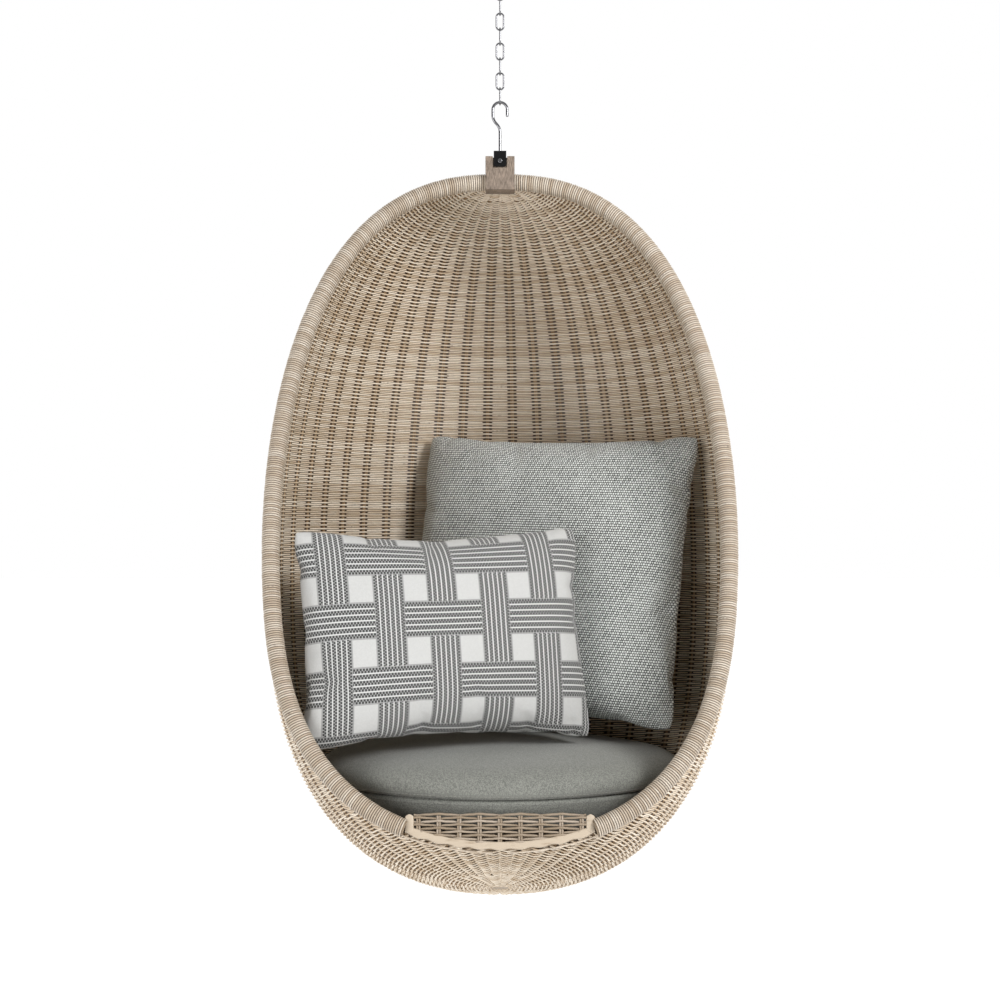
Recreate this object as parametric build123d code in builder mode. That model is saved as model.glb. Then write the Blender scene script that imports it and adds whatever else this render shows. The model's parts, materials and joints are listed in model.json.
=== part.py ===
"""Hanging egg chair: ceiling plate, chain, hook, swivel clevis, woven egg with cushions.

The origin is the centre of the ceiling plate's top face, +Z is up and the mouth of
the egg faces -Y. All sizes are in millimetres.
"""
from math import cos, radians, sin, sqrt
import os

from build123d import *

os.makedirs("parts", exist_ok=True)

# Ceiling plate and its welded eye
PLATE_D = 90.0
PLATE_T = 6.0
PLATE_PCD = 66.0
PLATE_HOLE_D = 6.5
EYE_WIRE = 8.0
EYE_MID_R = 12.0
EYE_STEM_D = 11.0
EYE_CENTRE_DROP = 30.85

# Chain
LINK_COUNT = 9
LINK_WIRE = 3.0
LINK_INNER_LENGTH = 27.0
LINK_WIDTH = 16.0
BEARING_GAP = 0.15

# Hook
HOOK_ROD = 5.0
HOOK_MID_R = 13.0
HOOK_TIP_DROP = 13.0
HOOK_SIDE_DROP = 10.0
HOOK_BEND_DROP = 31.0
SHANK_LENGTH = 38.1
WASHER_D = 11.0
WASHER_T = 1.0
WASHER_GAP = 0.15
NUT_ACROSS = 8.0
NUT_T = 4.0

# Clevis under the hook, with its cross bolt
CLEVIS_W = 22.4
CLEVIS_T = 3.5
CLEVIS_TOP_T = 4.0
CLEVIS_H = 27.9
CLEVIS_CORNER_R = 4.0
ROD_CLEARANCE = 0.3
BOLT_D = 5.0
BOLT_DROP = 18.0
BOLT_HEAD_D = 8.4
BOLT_HEAD_T = 3.0
BOLT_SOCKET_D = 4.2
BOLT_SOCKET_DEPTH = 1.8
BUSH_D = 8.0
BUSH_GAP = 0.3

# Hanger block
BLOCK_W = 52.0
BLOCK_D = 50.0
BLOCK_H = 59.3
BLOCK_DROP = 9.6
BLOCK_EDGE_R = 1.5
POCKET_SIDE_GAP = 1.8
POCKET_BELOW = 2.2
CHEEK_GAP = 0.4
TONGUE_DROP = 1.8

# Egg: rings stacked from the bottom pole to the top pole
EGG_HALF_WIDTH = 400.0
EGG_DEPTH_RATIO = 0.98
RIM_TOP_Z = -422.0
WIDEST_DROP = 723.0
POLE_DROP = 1239.0
WIDEST_Y = -90.0
POLE_Y = -128.0
UPPER_POWER = 2.42
LOWER_POWER = 2.46
TOP_TILT = 5.0
POLE_TILT = 22.5
MOUTH_SLOPE = 0.266
WEAVE_T = 6.0
RING_ANGLES = (-89, -84, -76, -65, -52, -38, -24, -8, 8, 24, 38, 52, 65, 76, 84, 89)

# Rim, ribs and hubs
RIM_TUBE_D = 25.0
RIM_WALL = 2.5
WRAP_T = 3.2
WRAP_BITE = 0.6
RIB_D = 4.0
RIB_ANGLES = {"frame_rib_back_left": -33.75, "frame_rib_back_right": 33.75,
              "frame_rib_side_left": -78.75, "frame_rib_side_right": 78.75}
TOP_HUB_R = 46.0
POLE_HUB_R = 40.0
HUB_T = 4.0

# Front panel below the cushion
PANEL_HALF_W = 155.0
PANEL_SIDE_H = 29.9
STRIP_W = 14.5
STRIP_T = 6.0
PANEL_T = 5.0
STRIP_BELOW = 7.0
STRIP_ABOVE = 6.0

# Seat frame and cushion
SEAT_BASE_RISE = 115.0
SEAM_RISE = 60.0
CROWN_RISE = 68.0
SEAT_SIDE_GAP = 19.0
SEAT_BACK_GAP = 14.0
SEAT_FRONT_GAP = 1.0
SEAT_BASE_GAP = 24.0
SEAT_BAR_D = 12.0
SEAT_RING_INSET = 16.0
SEAT_GAP = 0.6
CROSS_BAR_SHIFTS = (-139.0, 41.0)

# Pillows
BACK_SIDE_GAP = 123.0
BACK_H = 526.0
BACK_T = 110.0
BACK_X = 84.0
BACK_WALL_GAP = 203.0
BACK_RISE = 284.0
BACK_YAW = 27.0
BACK_LEAN = 12.0
LUMBAR_SIDE_GAP = 143.0
LUMBAR_H = 366.0
LUMBAR_T = 140.0
LUMBAR_X = -97.0
LUMBAR_WALL_GAP = 415.0
LUMBAR_RISE = 190.0
LUMBAR_YAW = -17.0
LUMBAR_LEAN = 12.0
PILLOW_EDGE_SHARE = 0.12


# Heights that follow from the sizes above
LINK_MID_R = (LINK_WIDTH - LINK_WIRE) / 2
LINK_HALF = (LINK_INNER_LENGTH + LINK_WIRE) / 2
EYE_SEAT_Z = -EYE_CENTRE_DROP - EYE_MID_R
FIRST_LINK_TOP = EYE_SEAT_Z + (EYE_WIRE + LINK_WIRE) / 2 + BEARING_GAP
LINK_PITCH = LINK_INNER_LENGTH - BEARING_GAP
LINK_Z = [FIRST_LINK_TOP - LINK_HALF - LINK_PITCH * n for n in range(LINK_COUNT)]
HOOK_TOP_Z = LINK_Z[-1] - LINK_HALF + (LINK_WIRE + HOOK_ROD) / 2 + BEARING_GAP
HOOK_ARC_Z = HOOK_TOP_Z - HOOK_MID_R
HOOK_BEND_Z = HOOK_ARC_Z - HOOK_SIDE_DROP
SHANK_Z = HOOK_BEND_Z - HOOK_BEND_DROP
CLEVIS_Z = SHANK_Z - SHANK_LENGTH
WASHER_Z = CLEVIS_Z - CLEVIS_TOP_T - WASHER_GAP
NUT_Z = WASHER_Z - WASHER_T - NUT_T
BOLT_Z = CLEVIS_Z - BOLT_DROP
BLOCK_Z = CLEVIS_Z - BLOCK_DROP
POCKET_W = CLEVIS_W + 2 * POCKET_SIDE_GAP
POCKET_H = CLEVIS_H - BLOCK_DROP + POCKET_BELOW
POCKET_DEPTH = CLEVIS_T + 2 * CHEEK_GAP
TONGUE_HALF = BLOCK_D / 2 - POCKET_DEPTH
CHEEK_IN_Y = TONGUE_HALF + CHEEK_GAP
CHEEK_OUT_Y = CHEEK_IN_Y + CLEVIS_T
MOUTH_SCALE = sqrt(1 + MOUTH_SLOPE ** 2)
WRAP_R = RIM_TUBE_D / 2 + WRAP_T
SHELL_FRONT = WRAP_R - WRAP_BITE
SEAT_BASE_Z = RIM_TOP_Z - POLE_DROP + SEAT_BASE_RISE
SEAM_Z = SEAT_BASE_Z + SEAM_RISE
SEAT_TOP_Z = SEAM_Z + CROWN_RISE

MOUTH = Plane(origin=(0, 0, RIM_TOP_Z), x_dir=(1, 0, 0), z_dir=(0, 1, -MOUTH_SLOPE))


def ring(angle, grow=0.0):
    """Half width, centre y, centre z and tilt of the egg's ring at an angle from -90 to 90."""
    rise = abs(sin(radians(angle)))
    spread = cos(radians(angle))
    if angle >= 0:
        power = 2 / UPPER_POWER
        share = rise ** power
        z = RIM_TOP_Z - WIDEST_DROP + (WIDEST_DROP + grow) * share
        y = WIDEST_Y * (1 - share ** 2 * (3 - 2 * share))
        tilt = TOP_TILT * share
    else:
        power = 2 / LOWER_POWER
        share = rise ** power
        z = RIM_TOP_Z - WIDEST_DROP - (POLE_DROP - WIDEST_DROP + grow) * share
        y = WIDEST_Y + (POLE_Y - WIDEST_Y) * share ** 2
        tilt = POLE_TILT * share
    return (EGG_HALF_WIDTH + grow) * spread ** power, y, z, tilt


def ring_plane(angle, grow=0.0):
    """Plane of a ring, its y axis pointing to the back of the egg."""
    width, y, z, tilt = ring(angle, grow)
    slope = radians(tilt)
    return Plane(origin=(0, y, z), x_dir=(1, 0, 0), z_dir=(0, sin(slope), cos(slope)))


def egg_point(angle, around):
    """Point on the middle of the weave, `around` degrees from the centre of the back."""
    width, y, z, tilt = ring(angle)
    back = EGG_DEPTH_RATIO * width * cos(radians(around))
    slope = radians(tilt)
    return width * sin(radians(around)), y + back * cos(slope), z - back * sin(slope)


def mouth_share(angle):
    """Cosine of the place where a ring meets the mouth plane, below -1 where it misses."""
    width, y, z, tilt = ring(angle)
    slope = radians(tilt)
    reach = EGG_DEPTH_RATIO * width * (cos(slope) + MOUTH_SLOPE * sin(slope))
    return -(y + MOUTH_SLOPE * (RIM_TOP_Z - z)) / reach


def rim_point(angle):
    """Rim centre in the mouth plane: x, and the distance down the slope from the top."""
    width, y, z, tilt = ring(angle)
    share = max(-1.0, min(1.0, mouth_share(angle)))
    slope = radians(tilt)
    x = width * sqrt(1 - share ** 2)
    height = z - EGG_DEPTH_RATIO * width * share * sin(slope)
    return x, (RIM_TOP_Z - height) * MOUTH_SCALE


def angle_where(reached, low, high):
    """Ring angle between low and high at which `reached` turns true."""
    for _ in range(60):
        middle = (low + high) / 2
        if reached(middle):
            high = middle
        else:
            low = middle
    return high


def wall_side(level):
    """Half width inside the weave at a height."""
    angle = angle_where(lambda a: egg_point(a, 90)[2] > level, -88.0, 88.0)
    return egg_point(angle, 90)[0] - WEAVE_T / 2


def wall_back(level):
    """The y of the weave's inside at the middle of the back, at a height."""
    angle = angle_where(lambda a: egg_point(a, 0)[2] > level, -88.0, 88.0)
    return egg_point(angle, 0)[1] - WEAVE_T / 2


CLOSE_ANGLE = angle_where(lambda a: mouth_share(a) > -1, -88.0, 0.0)
PANEL_ANGLE = angle_where(lambda a: rim_point(a)[0] > PANEL_HALF_W, CLOSE_ANGLE, 0.0)
PANEL_TOP_DROP = (rim_point(PANEL_ANGLE)[1] - PANEL_SIDE_H) / MOUTH_SCALE

# Seat and pillows, fitted to the inside of the egg
SEAT_FRONT_Y = -MOUTH_SLOPE * (RIM_TOP_Z - SEAM_Z) + SEAT_FRONT_GAP
SEAT_BACK_Y = wall_back(SEAM_Z) - SEAT_BACK_GAP
SEAT_HALF_W = wall_side(SEAM_Z) - SEAT_SIDE_GAP
SEAT_HALF_D = (SEAT_BACK_Y - SEAT_FRONT_Y) / 2
SEAT_Y = (SEAT_BACK_Y + SEAT_FRONT_Y) / 2
SEAT_BASE_SHARE = min((wall_side(SEAT_BASE_Z) - SEAT_BASE_GAP) / SEAT_HALF_W,
                      (wall_back(SEAT_BASE_Z) - SEAT_BASE_GAP - SEAT_Y) / SEAT_HALF_D)
SEAT_RING_HALF_W = SEAT_HALF_W * SEAT_BASE_SHARE - SEAT_RING_INSET
SEAT_RING_HALF_D = SEAT_HALF_D * SEAT_BASE_SHARE - SEAT_RING_INSET
BACK_Z = SEAT_TOP_Z + BACK_RISE
BACK_W = 2 * (wall_side(BACK_Z) - BACK_SIDE_GAP)
BACK_CENTRE = (BACK_X, wall_back(BACK_Z) - BACK_WALL_GAP, BACK_Z)
LUMBAR_Z = SEAT_TOP_Z + LUMBAR_RISE
LUMBAR_W = 2 * (wall_side(LUMBAR_Z) - LUMBAR_SIDE_GAP)
LUMBAR_CENTRE = (LUMBAR_X, wall_back(LUMBAR_Z) - LUMBAR_WALL_GAP, LUMBAR_Z)


def egg(grow):
    """Closed egg, grown outwards from the middle of the weave."""
    with BuildPart() as body:
        for angle in RING_ANGLES:
            width = ring(angle, grow)[0]
            with BuildSketch(ring_plane(angle, grow)):
                Ellipse(width, width * EGG_DEPTH_RATIO)
        loft()
    return body.part


def link_plane(number):
    """Plane of a chain link: odd links face sideways, even links face the front."""
    origin = (0, 0, LINK_Z[number - 1])
    if number % 2:
        return Plane(origin=origin, x_dir=(0, 1, 0), z_dir=(1, 0, 0))
    return Plane(origin=origin, x_dir=(1, 0, 0), z_dir=(0, -1, 0))


def chain_link(number):
    """One welded link: two straight legs and two half rings."""
    plane = link_plane(number)
    reach = LINK_HALF - LINK_MID_R
    with BuildPart() as link:
        with BuildLine(plane) as path:
            right = Line((LINK_MID_R, -reach), (LINK_MID_R, reach))
            top = ThreePointArc((LINK_MID_R, reach), (0, LINK_HALF), (-LINK_MID_R, reach))
            left = Line((-LINK_MID_R, reach), (-LINK_MID_R, -reach))
            ThreePointArc((-LINK_MID_R, -reach), (0, -LINK_HALF), (LINK_MID_R, -reach))
        with BuildSketch(Plane(origin=right @ 0, z_dir=right % 0)):
            Circle(LINK_WIRE / 2)
        sweep(path=path.wire())
    return link.part


def rim_line(first_angle):
    """Points of the rim from one lower end over the top to the other."""
    steps = 14
    angles = [first_angle + (90 - first_angle) * n / steps for n in range(steps)]
    right = [rim_point(a) for a in angles]
    left = [(-x, s) for x, s in reversed(right)]
    return right + [(0, 0)] + left


def hoop(outer_d, inner_d):
    """Tube along the rim between the two sides of the front panel."""
    with BuildPart() as tube:
        with BuildLine(MOUTH) as path:
            curve = Spline(*rim_line(PANEL_ANGLE))
        with BuildSketch(Plane(origin=curve @ 0, z_dir=curve % 0)):
            Circle(outer_d / 2)
            Circle(inner_d / 2, mode=Mode.SUBTRACT)
        sweep(path=path.wire())
    return tube.part


def panel_curve(shift, half_width):
    """Points along the lower edge of the mouth, moved down the slope by shift."""
    count = 8
    points = []
    for n in range(count + 1):
        x = half_width * (1 - 2 * n / count)
        angle = angle_where(lambda a: rim_point(a)[0] > abs(x), CLOSE_ANGLE, 0.0)
        points.append((x, rim_point(angle)[1] + shift))
    return points


def panel_piece(half_width, top, bottom_shift, back, front):
    """Slab in the mouth plane above the lower edge, top given as points or as one height."""
    with BuildPart() as slab:
        with BuildSketch(MOUTH.offset(back)):
            with BuildLine():
                lower = panel_curve(bottom_shift, half_width)
                bottom = Spline(*lower)
                if isinstance(top, list):
                    upper = Spline(*top)
                else:
                    upper = Line((half_width, top), (-half_width, top))
                Line(bottom @ 0, upper @ 0)
                Line(bottom @ 1, upper @ 1)
            make_face()
        extrude(amount=front - back)
    return slab.part


def pillow(centre, yaw, lean, width, height, thickness):
    """Plain closed pillow that leans back: a thin edge that swells to a flat belly."""
    turn, tip = radians(yaw), radians(lean)
    normal = (-sin(turn) * cos(tip), -cos(turn) * cos(tip), sin(tip))
    plane = Plane(origin=centre, x_dir=(cos(turn), -sin(turn), 0), z_dir=normal)
    edge = thickness * PILLOW_EDGE_SHARE
    levels = ((-thickness / 2, 0.5), (-0.36 * thickness, 0.78), (-edge / 2, 1.0),
              (edge / 2, 1.0), (0.36 * thickness, 0.78), (thickness / 2, 0.5))
    with BuildPart() as body:
        for level, share in levels:
            with BuildSketch(plane.offset(level)):
                RectangleRounded(width * share, height * share, 0.12 * height * share)
        loft(ruled=True)
    return body.part


def write(part, name):
    """Label a finished piece and write it as one STEP."""
    part.label = name
    export_step(part, f"parts/{name}.step")


# Ceiling plate with four screw holes
with BuildPart() as ceiling_plate:
    with BuildSketch(Plane.XY.offset(-PLATE_T)):
        Circle(PLATE_D / 2)
        with PolarLocations(PLATE_PCD / 2, 4, 45):
            Circle(PLATE_HOLE_D / 2, mode=Mode.SUBTRACT)
    extrude(amount=PLATE_T)
    rim_edges = ceiling_plate.edges().filter_by(GeomType.CIRCLE).group_by(SortBy.RADIUS)[-1]
    fillet(rim_edges.sort_by(Axis.Z)[0], 1.5)
write(ceiling_plate.part, "ceiling_plate")

# Eye: a ring on a short stem, welded to the plate
with BuildPart() as ceiling_eye:
    with BuildSketch(Plane.XY.offset(-PLATE_T)):
        Circle(EYE_STEM_D / 2)
    extrude(amount=-(EYE_CENTRE_DROP - EYE_MID_R - PLATE_T))
    with BuildSketch(Plane(origin=(EYE_MID_R, 0, -EYE_CENTRE_DROP), z_dir=(0, 0, 1))):
        Circle(EYE_WIRE / 2)
    revolve(axis=Axis((0, 0, -EYE_CENTRE_DROP), (0, 1, 0)))
write(ceiling_eye.part, "ceiling_eye")

# Chain
for number in range(1, LINK_COUNT + 1):
    write(chain_link(number), f"chain_link_{number}")

# Hook: an open loop over the last link, then a straight shank through the clevis
with BuildPart() as hanging_hook:
    with BuildLine(Plane.XZ) as hook_path:
        tip = Line((HOOK_MID_R, HOOK_ARC_Z - HOOK_TIP_DROP), (HOOK_MID_R, HOOK_ARC_Z))
        ThreePointArc((HOOK_MID_R, HOOK_ARC_Z), (0, HOOK_TOP_Z), (-HOOK_MID_R, HOOK_ARC_Z))
        Line((-HOOK_MID_R, HOOK_ARC_Z), (-HOOK_MID_R, HOOK_BEND_Z))
        bend = TangentArc((-HOOK_MID_R, HOOK_BEND_Z),
                          (-HOOK_MID_R / 2, HOOK_BEND_Z - HOOK_BEND_DROP / 2),
                          tangent=(0, -1))
        TangentArc(bend @ 1, (0, SHANK_Z), tangent=bend % 1)
        Line((0, SHANK_Z), (0, NUT_Z))
    with BuildSketch(Plane(origin=tip @ 0, z_dir=tip % 0)):
        Circle(HOOK_ROD / 2)
    sweep(path=hook_path.wire())
    fillet(hanging_hook.faces().filter_by(GeomType.PLANE).sort_by(Axis.X)[-1].edges(), 1.8)
write(hanging_hook.part, "hanging_hook")

# Washer and nut that carry the clevis on the shank
with BuildPart() as hook_washer:
    with BuildSketch(Plane.XY.offset(WASHER_Z)):
        Circle(WASHER_D / 2)
        Circle(HOOK_ROD / 2, mode=Mode.SUBTRACT)
    extrude(amount=-WASHER_T)
write(hook_washer.part, "hook_washer")

with BuildPart() as hook_nut:
    with BuildSketch(Plane.XY.offset(NUT_Z)):
        RegularPolygon(NUT_ACROSS / 2, 6, major_radius=False)
        Circle(HOOK_ROD / 2, mode=Mode.SUBTRACT)
    extrude(amount=NUT_T)
write(hook_nut.part, "hook_nut")

# Clevis: a top plate and two cheeks that sit in the block's pockets
with BuildPart() as swivel_clevis:
    with BuildSketch(Plane.XY.offset(CLEVIS_Z)):
        Rectangle(CLEVIS_W, 2 * CHEEK_OUT_Y)
    extrude(amount=-CLEVIS_TOP_T)
    for side in (-1, 1):
        with BuildSketch(Plane.XZ.offset(-side * CHEEK_IN_Y)) as cheek:
            with Locations((0, CLEVIS_Z - CLEVIS_H / 2)):
                Rectangle(CLEVIS_W, CLEVIS_H)
            fillet(cheek.vertices().group_by(Axis.Z)[0], CLEVIS_CORNER_R)
        extrude(amount=-side * CLEVIS_T)
    with BuildSketch(Plane.XY.offset(CLEVIS_Z)):
        Circle(HOOK_ROD / 2 + ROD_CLEARANCE)
    extrude(amount=-CLEVIS_TOP_T, mode=Mode.SUBTRACT)
    with BuildSketch(Plane.XZ.offset(-CHEEK_OUT_Y - 1)):
        with Locations((0, BOLT_Z)):
            Circle(BOLT_D / 2)
    extrude(amount=2 * CHEEK_OUT_Y + 2, mode=Mode.SUBTRACT)
write(swivel_clevis.part, "swivel_clevis")

# Cross bolt with a socket head, its bush and its nut
with BuildPart() as pivot_bolt:
    with BuildSketch(Plane.XZ.offset(CHEEK_OUT_Y)):
        with Locations((0, BOLT_Z)):
            Circle(BOLT_D / 2)
    extrude(amount=-2 * CHEEK_OUT_Y - NUT_T)
    with BuildSketch(Plane.XZ.offset(CHEEK_OUT_Y)):
        with Locations((0, BOLT_Z)):
            Circle(BOLT_HEAD_D / 2)
    extrude(amount=BOLT_HEAD_T)
    fillet(pivot_bolt.faces().sort_by(Axis.Y)[0].edges(), 1.2)
    with BuildSketch(Plane.XZ.offset(CHEEK_OUT_Y + BOLT_HEAD_T)):
        with Locations((0, BOLT_Z)):
            Circle(BOLT_SOCKET_D / 2)
    extrude(amount=-BOLT_SOCKET_DEPTH, mode=Mode.SUBTRACT)
write(pivot_bolt.part, "pivot_bolt")

with BuildPart() as pivot_bush:
    with BuildSketch(Plane.XZ.offset(CHEEK_IN_Y)):
        with Locations((0, BOLT_Z)):
            Circle(BUSH_D / 2)
            Circle(BOLT_D / 2, mode=Mode.SUBTRACT)
    extrude(amount=-2 * CHEEK_IN_Y)
write(pivot_bush.part, "pivot_bush")

with BuildPart() as pivot_nut:
    with BuildSketch(Plane.XZ.offset(-CHEEK_OUT_Y)):
        with Locations((0, BOLT_Z)):
            RegularPolygon(NUT_ACROSS / 2, 6, major_radius=False)
            Circle(BOLT_D / 2, mode=Mode.SUBTRACT)
    extrude(amount=-NUT_T)
write(pivot_nut.part, "pivot_nut")

# Hanger block, pocketed for the cheeks and bored for the rim tube
with BuildPart() as hanger_block:
    with BuildSketch(Plane.XY.offset(BLOCK_Z)):
        Rectangle(BLOCK_W, BLOCK_D)
    extrude(amount=-BLOCK_H)
    fillet(hanger_block.edges().filter_by(Axis.Z), BLOCK_EDGE_R)
    for side in (-1, 1):
        with BuildSketch(Plane.XZ.offset(-side * BLOCK_D / 2)):
            with Locations((0, BLOCK_Z - POCKET_H / 2)):
                Rectangle(POCKET_W, POCKET_H)
        extrude(amount=side * POCKET_DEPTH, mode=Mode.SUBTRACT)
    with BuildSketch(Plane.XY.offset(BLOCK_Z)):
        Rectangle(POCKET_W, BLOCK_D)
    extrude(amount=-TONGUE_DROP, mode=Mode.SUBTRACT)
    with BuildSketch(Plane.XZ.offset(-BLOCK_D / 2)):
        with Locations((0, BOLT_Z)):
            Circle(BUSH_D / 2 + BUSH_GAP)
    extrude(amount=BLOCK_D, mode=Mode.SUBTRACT)
    with BuildSketch(Plane.YZ.offset(-BLOCK_W / 2)):
        with Locations((0, RIM_TOP_Z)):
            Circle(RIM_TUBE_D / 2)
    extrude(amount=BLOCK_W, mode=Mode.SUBTRACT)
write(hanger_block.part, "hanger_block")

# Rim tube and the strand wrap around it, parted by the block
rim_tube = hoop(RIM_TUBE_D, RIM_TUBE_D - 2 * RIM_WALL)
write(rim_tube, "rim_tube")

wrap = hoop(2 * WRAP_R, RIM_TUBE_D)
for side, name in ((-1, "rim_wrap_left"), (1, "rim_wrap_right")):
    with BuildPart() as wrap_side:
        add(wrap)
        split(bisect_by=Plane.YZ.offset(side * BLOCK_W / 2), keep=Keep.TOP if side > 0 else Keep.BOTTOM)
    write(wrap_side.part, name)

# Woven shell: closed at both poles, open at the mouth, notched round the block
cavity = egg(-WEAVE_T / 2)
skin = egg(WEAVE_T / 2)
with BuildPart() as woven_shell:
    add(skin)
    add(cavity, mode=Mode.SUBTRACT)
    split(bisect_by=MOUTH.offset(SHELL_FRONT), keep=Keep.TOP)
    with BuildSketch(Plane.XY.offset(BLOCK_Z)):
        Rectangle(BLOCK_W + 0.6, BLOCK_D + 0.6)
    extrude(amount=-BLOCK_H - 0.3, mode=Mode.SUBTRACT)
write(woven_shell.part, "woven_shell")

# Ribs that run inside the weave from pole to pole or to the rim
for name, around in RIB_ANGLES.items():
    with BuildPart() as rib:
        with BuildLine() as rib_path:
            rib_curve = Spline(*[egg_point(a, around) for a in (-84, -74, -62, -48, -32, -16, 0,
                                                               16, 32, 48, 62, 74, 82)])
        with BuildSketch(Plane(origin=rib_curve @ 0, z_dir=rib_curve % 0)):
            Circle(RIB_D / 2)
        sweep(path=rib_path.wire())
        split(bisect_by=MOUTH.offset(SHELL_FRONT), keep=Keep.TOP)
    write(rib.part, name)

# Hub plates inside the weave at the two poles
with BuildPart() as top_hub:
    with BuildSketch(ring_plane(90).offset(-HUB_T / 2)):
        Circle(TOP_HUB_R)
    extrude(amount=HUB_T)
    split(bisect_by=Plane.XZ.offset(-BLOCK_D / 2 - 0.3), keep=Keep.BOTTOM)
write(top_hub.part, "top_hub")

with BuildPart() as pole_hub:
    with BuildSketch(ring_plane(-90).offset(-HUB_T / 2)):
        Circle(POLE_HUB_R)
    extrude(amount=HUB_T)
write(pole_hub.part, "pole_hub")

# Front panel: side, top and bottom strips, the weave between them and a rail behind
inner_half = PANEL_HALF_W - STRIP_W
for side, name in ((-1, "panel_strip_left"), (1, "panel_strip_right")):
    with BuildPart() as strip:
        add(panel_piece(PANEL_HALF_W, PANEL_TOP_DROP * MOUTH_SCALE, -STRIP_ABOVE, -STRIP_T / 2, STRIP_T / 2))
        split(bisect_by=Plane.YZ.offset(side * inner_half), keep=Keep.TOP if side > 0 else Keep.BOTTOM)
    write(strip.part, name)

top_edge = PANEL_TOP_DROP * MOUTH_SCALE
with BuildPart() as panel_strip_top:
    with BuildSketch(MOUTH.offset(-STRIP_T / 2)):
        with Locations((0, top_edge + STRIP_W / 4)):
            Rectangle(2 * inner_half, STRIP_W / 2)
    extrude(amount=STRIP_T)
write(panel_strip_top.part, "panel_strip_top")

panel_strip_bottom = panel_piece(PANEL_HALF_W, panel_curve(-STRIP_ABOVE, PANEL_HALF_W), STRIP_BELOW,
                                 -STRIP_T / 2, STRIP_T / 2)
write(panel_strip_bottom, "panel_strip_bottom")

panel_weave = panel_piece(inner_half, top_edge + STRIP_W / 2, -STRIP_ABOVE, -PANEL_T / 2, PANEL_T / 2)
write(panel_weave, "panel_weave")

panel_rail = panel_piece(PANEL_HALF_W, panel_curve(-STRIP_ABOVE, PANEL_HALF_W), STRIP_BELOW,
                         STRIP_T / 2, SHELL_FRONT)
write(panel_rail, "panel_rail")

# Seat frame: a ring under the cushion on three bars that end at the shell
RING_Z = SEAT_BASE_Z - SEAT_GAP - SEAT_BAR_D / 2
with BuildPart() as seat_ring:
    with BuildSketch(Plane(origin=(0, SEAT_Y, RING_Z - SEAT_BAR_D / 2))):
        Ellipse(SEAT_RING_HALF_W + SEAT_BAR_D / 2, SEAT_RING_HALF_D + SEAT_BAR_D / 2)
        Ellipse(SEAT_RING_HALF_W - SEAT_BAR_D / 2, SEAT_RING_HALF_D - SEAT_BAR_D / 2,
                mode=Mode.SUBTRACT)
    extrude(amount=SEAT_BAR_D)
write(seat_ring.part, "seat_ring")

BAR_Z = RING_Z - SEAT_BAR_D
for number, shift in enumerate(CROSS_BAR_SHIFTS, 1):
    with BuildPart() as cross_bar:
        with BuildSketch(Plane(origin=(-EGG_HALF_WIDTH, SEAT_Y + shift, BAR_Z), z_dir=(1, 0, 0))):
            Circle(SEAT_BAR_D / 2)
        extrude(amount=2 * EGG_HALF_WIDTH)
        add(cavity, mode=Mode.INTERSECT)
    write(cross_bar.part, f"seat_cross_bar_{number}")

# Seat cushion: a round boxed cushion with a crowned top
with BuildPart() as seat_cushion:
    for level, share in ((SEAT_BASE_Z, SEAT_BASE_SHARE), (SEAM_Z, 1.0)):
        with BuildSketch(Plane(origin=(0, SEAT_Y, level))):
            Ellipse(SEAT_HALF_W * share, SEAT_HALF_D * share)
    loft(ruled=True)
    for level, share in ((0.0, 1.0), (0.28, 1.03), (0.58, 1.015), (0.8, 0.92), (0.94, 0.66), (1.0, 0.3)):
        with BuildSketch(Plane(origin=(0, SEAT_Y, SEAM_Z + CROWN_RISE * level))):
            Ellipse(SEAT_HALF_W * share, SEAT_HALF_D * share)
    loft(ruled=True)
write(seat_cushion.part, "seat_cushion")

# Loose pillows
write(pillow(BACK_CENTRE, BACK_YAW, BACK_LEAN, BACK_W, BACK_H, BACK_T), "back_pillow")
write(pillow(LUMBAR_CENTRE, LUMBAR_YAW, LUMBAR_LEAN, LUMBAR_W, LUMBAR_H, LUMBAR_T), "lumbar_pillow")
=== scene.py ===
"""Hanging egg chair: woven strands, wraps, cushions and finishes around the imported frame."""

from __future__ import annotations

import json
import logging
import math
from dataclasses import dataclass, field

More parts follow.
